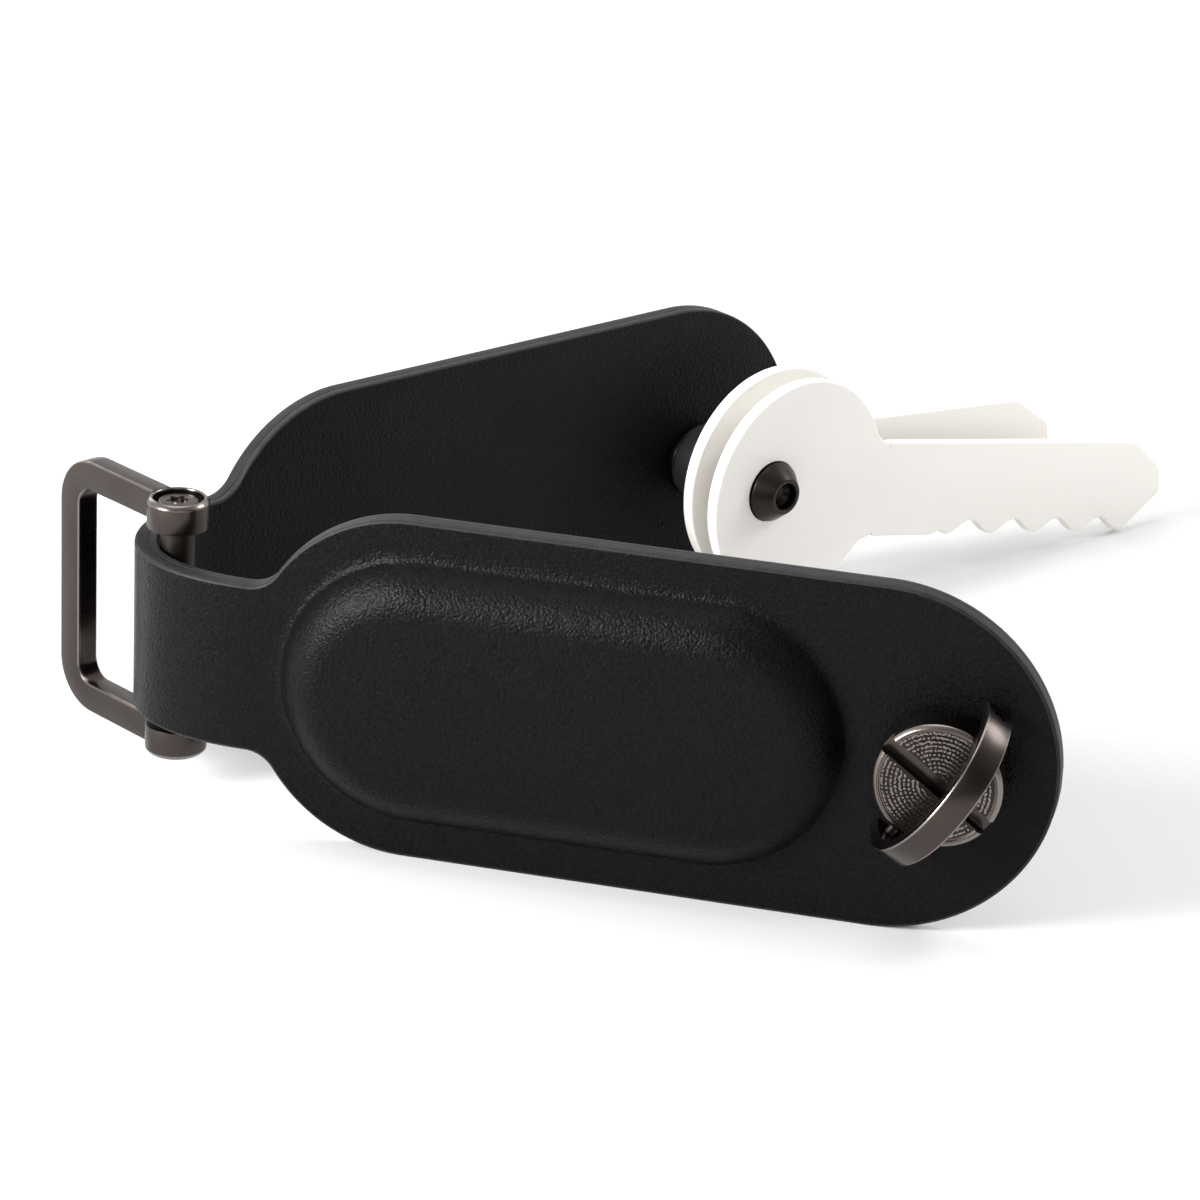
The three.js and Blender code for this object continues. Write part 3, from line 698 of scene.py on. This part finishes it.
def makeRing():
    r = ring
    finishes = [satinGunmetal, polishedHighlightGunmetal]
    heading = math.radians(r["angle"])
    outward = Vector((math.cos(heading), math.sin(heading), 0))
    flat = placeAt(ringPost, outward, outward.cross(up))  # the ring's own plane
    upright = placeAt(ringPost, outward, up)
    top = r["height"] / 2
    high, wide = top - r["barDepth"] / 2, r["reach"] - r["barDepth"] / 2
    bend, barStart = r["corner"] - r["barDepth"] / 2, r["knuckleRadius"] - r["barOverlap"]
    path = [(barStart, high)]
    path += arcPoints((wide - bend, high - bend), bend, quarterTurn, 0, r["cornerSteps"])
    path += arcPoints((wide - bend, bend - high), bend, 0, -quarterTurn, r["cornerSteps"])
    path.append((barStart, -high))
    frameBar = swept("ring_bar", path, r["barDepth"], r["barWidth"], r["edge"])
    base, seat = top - r["knuckleHeight"], r["headBase"] - r["play"]
    inside, outside = r["headRadius"] + r["headGap"], r["knuckleRadius"]
    knuckles = []
    for name, shaft, flip in (("upper_knuckle", "screwRadius", False), ("lower_knuckle", "postRadius", True)):
        hole = r[shaft] + r["play"]
        profile = softened([
            (hole, base), (outside, base), (outside, top - r["knuckleEdge"][1]),
            (outside - r["knuckleEdge"][0], top), (inside + r["boreEdge"][0], top),
            (inside, top - r["boreEdge"][1]), (inside, seat), (hole, seat)], r["knuckleSoft"], steps=2)
        # the rim's chamfer takes the polished gunmetal, painted lighter as a highlight
        knuckle = turned(name, closed(profile), finishes, polishHighlightFrom=top - r["polishHighlightDepth"])
        if flip:
            knuckle.data.transform(turnAbout("X", 180))
        knuckle.data.transform(flat.inverted() @ upright)
        knuckles.append(knuckle)
    combined(frameBar, knuckles, "UNION")
    frameBar.name = "ring_loop"
    finished(frameBar, flat, "ring", ["ring_frame"], smooth=28)

    thread, threadEnd = r["screwRadius"] + r["play"], r["screwEnd"] - r["play"]
    # the post barrel is painted dark gunmetal, as painted shade between the knuckles and the strap
    barrel = turned("ring_barrel", softened([
        (0, -r["headTop"]), (r["headRadius"], -r["headTop"]), (r["headRadius"], -r["headBase"]),
        (r["postRadius"], -r["headBase"]), (r["postRadius"], r["postTop"]), (thread, r["postTop"]),
        (thread, threadEnd), (0, threadEnd)], r["barrelSoft"]), [shadeGunmetal])
    finished(barrel, upright, "ring", ["ring_post_barrel"])

    screw = turned("ring_screw", softened([
        (0, r["screwEnd"]), (r["screwRadius"], r["screwEnd"]), (r["screwRadius"], r["headBase"]),
        (r["headRadius"], r["headBase"]), (r["headRadius"], r["headTop"]), (0, r["headTop"])],
        r["screwSoft"]), finishes)
    driveLow, driveTop = r["headTop"] - r["driveDepth"], r["headTop"] + r["driveOpen"]
    drive = outlined("drive", driveOutline(), driveLow, driveTop, 0, [])
    combined(screw, [drive], "DIFFERENCE")
    finished(screw, upright, "ring", ["ring_post_screw"])
    print("ring made")


makeRing()


# key post on the rear leaf and its keys, heights from the leaf's inner face

stack = {
    "capLow": -3.0, "capTop": -2.0, "capRadius": 5, "capDraft": 0.1, "capFlank": 0.45, "capSoft": 0.3,
    "studRadius": 1.4, "studEnd": 5.0, "studPlay": 0.1,
    "washerRadius": 3.5, "washerLow": 0.1, "washerTop": 0.9, "washerSoft": 0.15,
    "postRadius": 2.75, "postLow": 1.0, "postTop": 10.9, "postSoft": 0.12,
    "threadHole": 1.0, "threadLow": 8.5, "neckRadius": 0.9, "neckLow": 8.6,  # for the tip's own stud
    "tipLow": 11.0, "tipTop": 12.8, "tipBase": 2.85, "tipFlank": 0.22, "tipRim": 1.7,
    "socket": 1.3, "socketDepth": 1.5, "socketDraft": 0.06, "socketFlank": 0.7, "socketFloor": (0.75, 0.15),
    "spacerRadius": 3.6, "spacerHole": 2.95, "rearSpacer": (1.0, 6.2), "middleSpacer": (7.6, 9.6),
    "spacerSoft": 0.2, "rearKey": (6.3, 7.5), "frontKey": (9.7, 10.9),
}
key = {
    "hole": 2.95, "headRadius": 10.7, "headOffset": 3.65, "halfBlade": 4.7, "root": 2.5, "tipLength": 5.8,
    "tipBevel": 4.7, "tipFlat": 2.5, "tipSetback": 0.75, "toothDepth": 1.4, "toothPitch": 6.4,
    "firstTooth": 25.4, "toothSteps": 16, "leastFlat": 0.4, "edge": 0.2, "corner": 0.55,
    "notchStart": 1.9, "notchFoot": 1.1, "notchShare": 0.38,  # half notch before the first tooth
    "headSteps": 96, "rootSteps": 8, "drillReach": 1,
    "front": (56.2, -11.3), "rear": (41.8, -6),  # hole to tip, degrees from the leaf's length
}
keyStack = placeAt(keyPost, rearAlong, keyIn)


def roundedCorners(points, radius, steps=4, straight=0.35):  # closed outline, nearly straight corners kept
    count = len(points)
    result = []
    for k in range(count):
        before, corner, after = (Vector(points[(k + i) % count]) for i in (-1, 0, 1))
        if ((before - corner).normalized() + (after - corner).normalized()).length < straight:
            result.append(tuple(corner))
        else:
            result += easedCorner(before, corner, after, radius, steps)
    return result


def keyOutline(reach):
    k = key
    half, middle = k["halfBlade"], k["halfBlade"] + k["root"]
    span = k["headRadius"] + k["root"]
    place = k["headOffset"] + math.sqrt(span ** 2 - middle ** 2)
    lean = math.asin(middle / span)
    outline = arcPoints((k["headOffset"], 0), k["headRadius"], lean, 2 * math.pi - lean, k["headSteps"])
    outline += arcPoints((place, -middle), k["root"], math.pi - lean, quarterTurn, k["rootSteps"])[1:]
    bladeEnd = reach - k["tipBevel"]
    pitch, depth, steps = k["toothPitch"], k["toothDepth"], k["toothSteps"]
    x = k["firstTooth"]
    corners = [(x - k["notchStart"], -half), (x - k["notchFoot"], -half + k["notchShare"] * depth)]
    while x + pitch <= bladeEnd + tiny:
        for part in range(steps):  # soft points and valleys
            wave = 0.5 - 0.5 * math.cos(2 * math.pi * part / steps)
            corners.append((x + pitch * part / steps, -half + depth * wave))
        x += pitch
    corners.append((x, -half))
    if bladeEnd - x > k["leastFlat"]:
        corners.append((bladeEnd, -half))
    corners += [(reach, -k["tipFlat"] / 4), (reach - k["tipSetback"], 3 * k["tipFlat"] / 4),
                (reach - k["tipLength"], half)]
    eased = roundedCorners([outline[-1]] + corners + [(place, half)], k["corner"])
    outline = outline[:-1] + eased[1:]
    outline += arcPoints((place, middle), k["root"], -quarterTurn, -math.pi + lean, k["rootSteps"])[1:-1]
    return outline


def makeKeys():
    for name in ("front", "rear"):
        reach, angle = key[name]
        low, high = stack[name + "Key"]
        piece = outlined(name + "_house_key", keyOutline(reach), low, high, key["edge"], [offWhite, offWhite])
        hole = rod(key["hole"], low - key["drillReach"], high + key["drillReach"])
        combined(piece, [turned("drill", hole, [], sides=64)], "DIFFERENCE")
        turn = turnAbout("Z", angle)
        finished(piece, keyStack @ turn, name + "_key", [name + "_key"], smooth=40)
    print("keys made")


def makeKeyPost():
    s = stack
    stud, bore = s["studRadius"], s["studRadius"] + s["studPlay"]
    capLow, capTop, capRadius = s["capLow"], s["capTop"], s["capRadius"]
    cap = [(0, capLow), (capRadius - s["capDraft"], capLow), (capRadius, capLow + s["capFlank"]),
           (capRadius, capTop), (stud, capTop), (stud, s["studEnd"]), (0, s["studEnd"])]
    post = [(bore, s["postLow"]), (s["postRadius"], s["postLow"]), (s["postRadius"], s["postTop"]),
            (s["threadHole"], s["postTop"]), (s["threadHole"], s["threadLow"]), (bore, s["threadLow"])]
    deep = s["tipTop"] - s["socketDepth"]
    floorRadius, floorRise = s["socketFloor"]
    tipLow, tipTop, neck = s["tipLow"], s["tipTop"], s["neckRadius"]
    tip = [(0, s["neckLow"]), (neck, s["neckLow"]), (neck, tipLow), (s["tipBase"], tipLow),
           (s["tipBase"], tipLow + s["tipFlank"]), (s["tipRim"], tipTop), (s["socket"], tipTop),
           (s["socket"] - s["socketDraft"], deep + s["socketFlank"]),
           (floorRadius, deep + floorRise), (0, deep)]
    washer = band(bore, s["washerRadius"], s["washerLow"], s["washerTop"])
    metal, plastic = (blackOxide, "black_metal"), (blackNylon, "spacer")
    parts = [("key_cap", cap, s["capSoft"], "key_post_back_cap", *metal),
             ("key_washer", washer, s["washerSoft"], "key_post_washer", *metal),
             ("key_barrel", post, s["postSoft"], "key_post", *metal),
             ("key_tip", tip, s["postSoft"], "key_post_tip", *metal)]
    for name in ("rear", "middle"):
        spacer = band(s["spacerHole"], s["spacerRadius"], *s[name + "Spacer"])
        parts.append((name + "_spacer", spacer, s["spacerSoft"], name + "_key_spacer", *plastic))
    for name, profile, radius, node, material, slot in parts:
        line = softened(profile, radius)
        if line[0][0] > 0:
            line = closed(line)
        finished(turned(name, line, [material]), keyStack, "rear_leaf", [node])
    print("key post made")


makeKeys()
makeKeyPost()


# turn lock on the front leaf, heights from the leaf's outer face

lock = {
    "mouthRadius": 3.07, "seatLow": -1.9, "flangeRadius": 4.75, "flangeTop": -1.3, "seatRadius": 4.0,
    "seatTop": 0.6, "seatHole": 1.15, "clipRoom": 2.05, "clipRoomLow": -0.3, "clipRoomTop": 0.15,
    "collarHole": 4.1, "collarRadius": 4.95, "collarLow": 0.1,
    "screwRadius": 0.95, "screwLow": -1.25, "screwTop": 2.1,
    "clipHole": 1.03, "clipRadius": 1.83, "clipLow": -0.2, "clipTop": 0.05,
    "drumRadius": 5.3, "drumLow": 0.7, "drumTop": 4.0, "edge": 0.3, "rim": 0.55, "rimHeight": 0.22,
    "drumSoft": 0.08, "polishHighlightDepth": 0.5, "bevel": 0.05, "bevelFrom": 60, "bore": 1.05, "boreTop": 2.2,
    "slotWidth": 1.4, "slotDepth": 1.2, "slotLength": 20, "slotOpen": 9,
    "pinHeight": 2.3, "pinRadius": 0.45, "pinStart": 4.1, "pinEnd": 7.35, "pinSoft": 0.12,
    "pinHole": 0.53, "pinHoleStart": 4, "pinHoleEnd": 9,
    "bailTurn": 54.3, "bailLean": 11.8, "bailInner": 6.55, "bailThickness": 1, "bailWidth": 2.4,
    "bailFoot": 1.2, "bailEdge": 0.16, "bailSteps": 72,
}
dashes = {"Turns": 11.0, "Inner Radius": 0.6, "Outer Radius": 4.62, "Pitch": 0.37, "Length": 0.3,
          "Width": 0.17, "Height": 0.18, "Slot": 0.86, "Turn": 0.45, "Seed": 7}
lockAxes = placeAt(lockPost, frontAlong, lockOut)
knobAxes = lockAxes @ turnAbout("Z", lock["bailTurn"])
pinCentre = Matrix.Translation((0, 0, lock["pinHeight"]))


def dashTree():  # short raised dashes in rows round the drum's face, clear of its slot
    tree, given = newTree("drum_dashes", {
        "Face": "Geometry", "Turns": "Float", "Inner Radius": "Float", "Outer Radius": "Float",
        "Pitch": "Float", "Length": "Float", "Width": "Float", "Height": "Float", "Slot": "Float",
        "Turn": "Float", "Seed": "Int", "Finish": "Material"})
    spiral = addNode(tree, "GeometryNodeCurveSpiral", {
        "Resolution": 64, "Rotations": given["Turns"], "Start Radius": given["Inner Radius"],
        "End Radius": given["Outer Radius"], "Height": 0.0})
    spots = addNode(tree, "GeometryNodeCurveToPoints", {"Curve": spiral, "Length": given["Pitch"]},
                    mode="LENGTH")
    where = addNode(tree, "ShaderNodeSeparateXYZ", {0: addNode(tree, "GeometryNodeInputPosition")})
    inSlot = compared(tree, "LESS_THAN", maths(tree, "ABSOLUTE", where.outputs["X"]), given["Slot"])
    kept = addNode(tree, "GeometryNodeDeleteGeometry", {"Geometry": spots, "Selection": inSlot})
    size = addNode(tree, "ShaderNodeCombineXYZ", {0: given["Width"], 1: given["Height"], 2: given["Length"]})
    dash = addNode(tree, "GeometryNodeMeshCube", {"Size": size})
    smallest, largest = (0.7, 0.6, 0.5), (1.2, 1.4, 1.4)  # times the width, height and length
    stretch = addNode(tree, "FunctionNodeRandomValue", {0: smallest, 1: largest, 8: given["Seed"]},
                      data_type="FLOAT_VECTOR")
    placed = addNode(tree, "GeometryNodeInstanceOnPoints", {
        "Points": kept, "Instance": dash, "Rotation": spots.outputs["Rotation"],
        "Scale": stretch})
    back = maths(tree, "MULTIPLY", given["Turn"], -1.0)
    angle = addNode(tree, "FunctionNodeRandomValue", {2: back, 3: given["Turn"], 8: given["Seed"]})
    twist = addNode(tree, "ShaderNodeCombineXYZ", {1: angle.outputs[1]})
    twisted = addNode(tree, "GeometryNodeRotateInstances", {"Instances": placed, "Rotation": twist})
    real = addNode(tree, "GeometryNodeRealizeInstances", {0: twisted})
    done = addNode(tree, "GeometryNodeSetMaterial", {"Geometry": real, "Material": given["Finish"]})
    addNode(tree, "NodeGroupOutput", {0: done})
    return tree


def makeSeat():  # what holds the knob in the leaf, mostly hidden
    k = lock
    seat = [(k["mouthRadius"], k["seatLow"]), (k["flangeRadius"], k["seatLow"]),
            (k["flangeRadius"], k["flangeTop"]), (k["seatRadius"], k["flangeTop"]),
            (k["seatRadius"], k["seatTop"]), (k["seatHole"], k["seatTop"]), (k["seatHole"], k["clipRoomTop"]),
            (k["clipRoom"], k["clipRoomTop"]), (k["clipRoom"], k["clipRoomLow"])]
    collar = band(k["collarHole"], k["collarRadius"], k["collarLow"], k["seatTop"])
    screw = rod(k["screwRadius"], k["screwLow"], k["screwTop"])
    clip = band(k["clipHole"], k["clipRadius"], k["clipLow"], k["clipTop"])
    still, turning = (lockAxes, "front_leaf"), (knobAxes, "lock_knob")
    parts = (
        ("lock_socket", closed(seat), blackOxide, *still, "lock_seat", "black_metal"),
        ("lock_ring", closed(collar), shadeGunmetal, *still, "lock_collar", "gunmetal"),
        ("lock_stud", screw, blackOxide, *turning, "lock_screw", "black_metal"),
        ("lock_circlip", closed(clip), satinGunmetal, *turning, "lock_clip", "gunmetal"),
    )
    for name, profile, material, axes, body, node, slot in parts:
        finished(turned(name, profile, [material]), axes, body, [node])


def makeDrum():
    k = lock
    radius, top = k["drumRadius"], k["drumTop"]
    inner, floor = radius - k["rim"], top - k["rimHeight"]
    profile = softened([
        (0, k["drumLow"]), (radius, k["drumLow"]), (radius, top - k["edge"]), (radius - k["edge"], top),
        (inner, top), (inner, floor), (0, floor)], k["drumSoft"], steps=2)
    finishes = [satinGunmetal, polishedHighlightGunmetal, shadeGunmetal, blackOxide]
    # the top edge's chamfer takes the polished gunmetal, painted lighter as a highlight
    drum = turned("lock_barrel", profile, finishes, sides=128, polishHighlightFrom=top - k["polishHighlightDepth"])
    # the face inside the rim is painted darker, as painted shade in the recess round the raised dashes
    for face in drum.data.polygons:
        if face.normal.z > square and face.center.xy.length < inner:
            face.material_index = finishes.index(shadeGunmetal)
    slotFloor = top - k["slotDepth"]
    cuts = [boxed("slot", k["slotWidth"], k["slotLength"], slotFloor, k["slotOpen"]),
            turned("bore", rod(k["bore"], 0, k["boreTop"]), [], sides=48)]
    for side in (1, -1):
        hole = turned("pin_bore", rod(k["pinHole"], k["pinHoleStart"], k["pinHoleEnd"]), [], sides=32)
        hole.data.transform(pinCentre @ turnAbout("Y", 90 * side))
        cuts.append(hole)
    combined(drum, cuts, "DIFFERENCE")
    for face in drum.data.polygons:  # the slot's walls are painted black oxide, as painted shade in the slot
        if abs(face.normal.x) > square and abs(face.center.x) < k["slotWidth"] and face.center.z > slotFloor:
            face.material_index = finishes.index(blackOxide)
    bevel = drum.modifiers.new("edges", "BEVEL")
    bevel.width, bevel.segments = k["bevel"], 2
    bevel.limit_method, bevel.angle_limit = "ANGLE", math.radians(k["bevelFrom"])
    # the bevels take the polished gunmetal, painted lighter as a highlight
    bevel.material = finishes.index(polishedHighlightGunmetal)
    cleaned(applied(drum))
    finished(drum, knobAxes, "lock_knob", ["lock_drum"], smooth=30)

    # the raised dashes take the lighter polished gunmetal, a painted highlight on the marks against the
    # shaded face
    blank = newObject("drum_texture", bpy.data.meshes.new("drum_texture"))
    texture = makeReal(blank, dashTree(), {**dashes, "Finish": polishedHighlightGunmetal})
    texture.data.transform(knobAxes @ Matrix.Translation((0, 0, floor)))
    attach(texture, "lock_knob")


def makeBail():
    k = lock
    pinLine = softened(rod(k["pinRadius"], k["pinStart"], k["pinEnd"]), k["pinSoft"])
    for end, side in (("upper", 1), ("lower", -1)):
        # the hinge pins are painted dark gunmetal, as painted shade at the bail's feet
        pin = turned("hinge_pin_" + end, pinLine, [shadeGunmetal], sides=48)
        lay = pinCentre @ turnAbout("Y", 90 * side)
        finished(pin, knobAxes @ lay, "lock_knob", ["bail_pin_" + end])

    middle, foot = k["bailInner"] + k["bailThickness"] / 2, -k["bailFoot"]
    path = [(middle, foot)] + arcPoints((0, 0), middle, 0, math.pi, k["bailSteps"]) + [(-middle, foot)]
    bail = swept("lock_loop", path, k["bailThickness"], k["bailWidth"], k["bailEdge"])
    pinHole = turned("pin_hole", rod(k["pinHole"], -k["pinHoleEnd"], k["pinHoleEnd"]), [], sides=32)
    pinHole.data.transform(turnAbout("Y", 90))
    combined(bail, [pinHole], "DIFFERENCE")
    stand = pinCentre @ turnAbout("X", k["bailLean"])
    upright = turnAbout("X", 90)
    finished(bail, knobAxes @ stand @ upright, "lock_bail", ["lock_bail"], smooth=28)


makeSeat()
makeDrum()
makeBail()
print("lock made")
core = frame["nodes"]["pocket_core"]
core.data.materials.clear()
core.data.materials.append(stiffBoard)


# camera, light and floor

view = {  # angles in degrees, distance in metres, the ring post's place in pixels of the photo
    "turn": 14.547, "lift": 21.85, "roll": -2.825, "lens": 135, "distance": 0.3827,
    "post": (177.07, 624.22), "pixels": 1200, "sensor": 36, "clipStart": 0.01,
}


def makeCamera():
    turn, lift, roll = (math.radians(view[name]) for name in ("turn", "lift", "roll"))
    right = Vector((math.cos(turn), -math.sin(turn), 0))
    away = Vector((math.sin(turn), math.cos(turn), 0))
    tall = away * math.sin(lift) + up * math.cos(lift)
    forward = away * math.cos(lift) - up * math.sin(lift)
    imageX = math.cos(roll) * right - math.sin(roll) * tall
    imageY = math.sin(roll) * right + math.cos(roll) * tall
    perPixel = view["sensor"] / view["lens"] / view["pixels"] * view["distance"]
    offX = (view["post"][0] - view["pixels"] / 2) * perPixel
    offY = (view["pixels"] / 2 - view["post"][1]) * perPixel
    data = bpy.data.cameras.new("camera")
    data.lens, data.sensor_width, data.clip_start = view["lens"], view["sensor"], view["clipStart"]
    camera = newObject("camera", data)
    place = Matrix((imageX, imageY, -forward)).transposed().to_4x4()
    place.translation = ringPost - imageX * offX - imageY * offY - forward * view["distance"]
    camera.matrix_world = place
    scene.camera = camera


lamps = {  # place, target, size across, watts
    "overhead_softbox": ((-0.06, 0.05, 0.45), (0, 0, 0.01), 0.34, 0.8),
    "left_softbox": ((-0.42, -0.14, 0.19), (0, -0.01, 0.015), 0.18, 4.3),
    "right_softbox": ((0.44, 0.03, 0.33), (0.03, -0.02, 0.015), 0.2, 1.2),
    "front_softbox": ((-0.08, -0.56, 0.3), (0, 0, 0.015), 0.4, 0.3),
    "rear_softbox": ((-0.22, 0.5, 0.26), (0, 0, 0.015), 0.3, 0.7),
}
room = {  # strengths; mirrored, it goes from a dim front to the white sweep at the back
    "depthRange": (-0.7, 0.3), "mirrored": (0.16, 1.0), "diffuse": 0.6, "seen": 1.0,
}


def makeLamps():
    for name, (spot, aim, size, watts) in lamps.items():
        data = bpy.data.lights.new(name, "AREA")
        data.shape, data.size, data.energy = "DISK", size, watts
        lamp = newObject(name, data)
        lamp.location = spot
        lamp.rotation_euler = (Vector(aim) - Vector(spot)).to_track_quat("-Z", "Y").to_euler()


def makeRoom():
    world = bpy.data.worlds.new("white_studio")
    scene.world = world
    world.use_nodes = True
    tree = world.node_tree
    path = addNode(tree, "ShaderNodeLightPath").outputs
    way = addNode(tree, "ShaderNodeTexCoord").outputs["Generated"]
    depth = addNode(tree, "ShaderNodeSeparateXYZ", {0: way}).outputs["Y"]
    mirrored = ranged(tree, depth, *room["depthRange"], *room["mirrored"])
    light = addNode(tree, "ShaderNodeMix", {0: path["Is Glossy Ray"], 2: room["diffuse"], 3: mirrored})
    seen = maths(tree, "MAXIMUM", path["Is Camera Ray"], path["Is Transmission Ray"])
    strength = addNode(tree, "ShaderNodeMix", {0: seen, 2: light, 3: room["seen"]})
    tree.links.new(strength.outputs[0], tree.nodes["Background"].inputs["Strength"])
    tree.nodes["Background"].inputs["Color"].default_value = (1, 1, 1, 1)


sweep = {  # metres; the floor is lifted to white with distance, and keeps the shadow near the part
    "reach": 3, "colour": "#d1d1d1", "roughness": 0.9, "distances": (0.06, 0.5), "lifts": (0.07, 0.68),
}


def makeFloor():
    reach = sweep["reach"]
    corners = [(-reach, -reach, 0), (reach, -reach, 0), (reach, reach, 0), (-reach, reach, 0)]
    material, tree, shader = newMaterial("white_sweep", sweep["colour"], sweep["roughness"], shine=0.0)
    path = addNode(tree, "ShaderNodeLightPath").outputs
    seen = path["Is Camera Ray"]
    for kind in ("Is Glossy Ray", "Is Transmission Ray"):
        seen = maths(tree, "MAXIMUM", seen, path[kind])
    away = addNode(tree, "ShaderNodeVectorMath", {0: objectSpot(tree)}, operation="LENGTH").outputs["Value"]
    white = ranged(tree, away, *sweep["distances"], *sweep["lifts"], interpolation_type="SMOOTHSTEP")
    lift = maths(tree, "MULTIPLY", seen, white)
    shader.inputs["Emission Color"].default_value = (1, 1, 1, 1)
    tree.links.new(lift, shader.inputs["Emission Strength"])
    floor = shaped("floor", corners, [(0, 1, 2, 3)], materials=[material])


makeCamera()
makeLamps()
makeRoom()
makeFloor()
scene.view_settings.view_transform = "Standard"
print("camera, light and floor made")
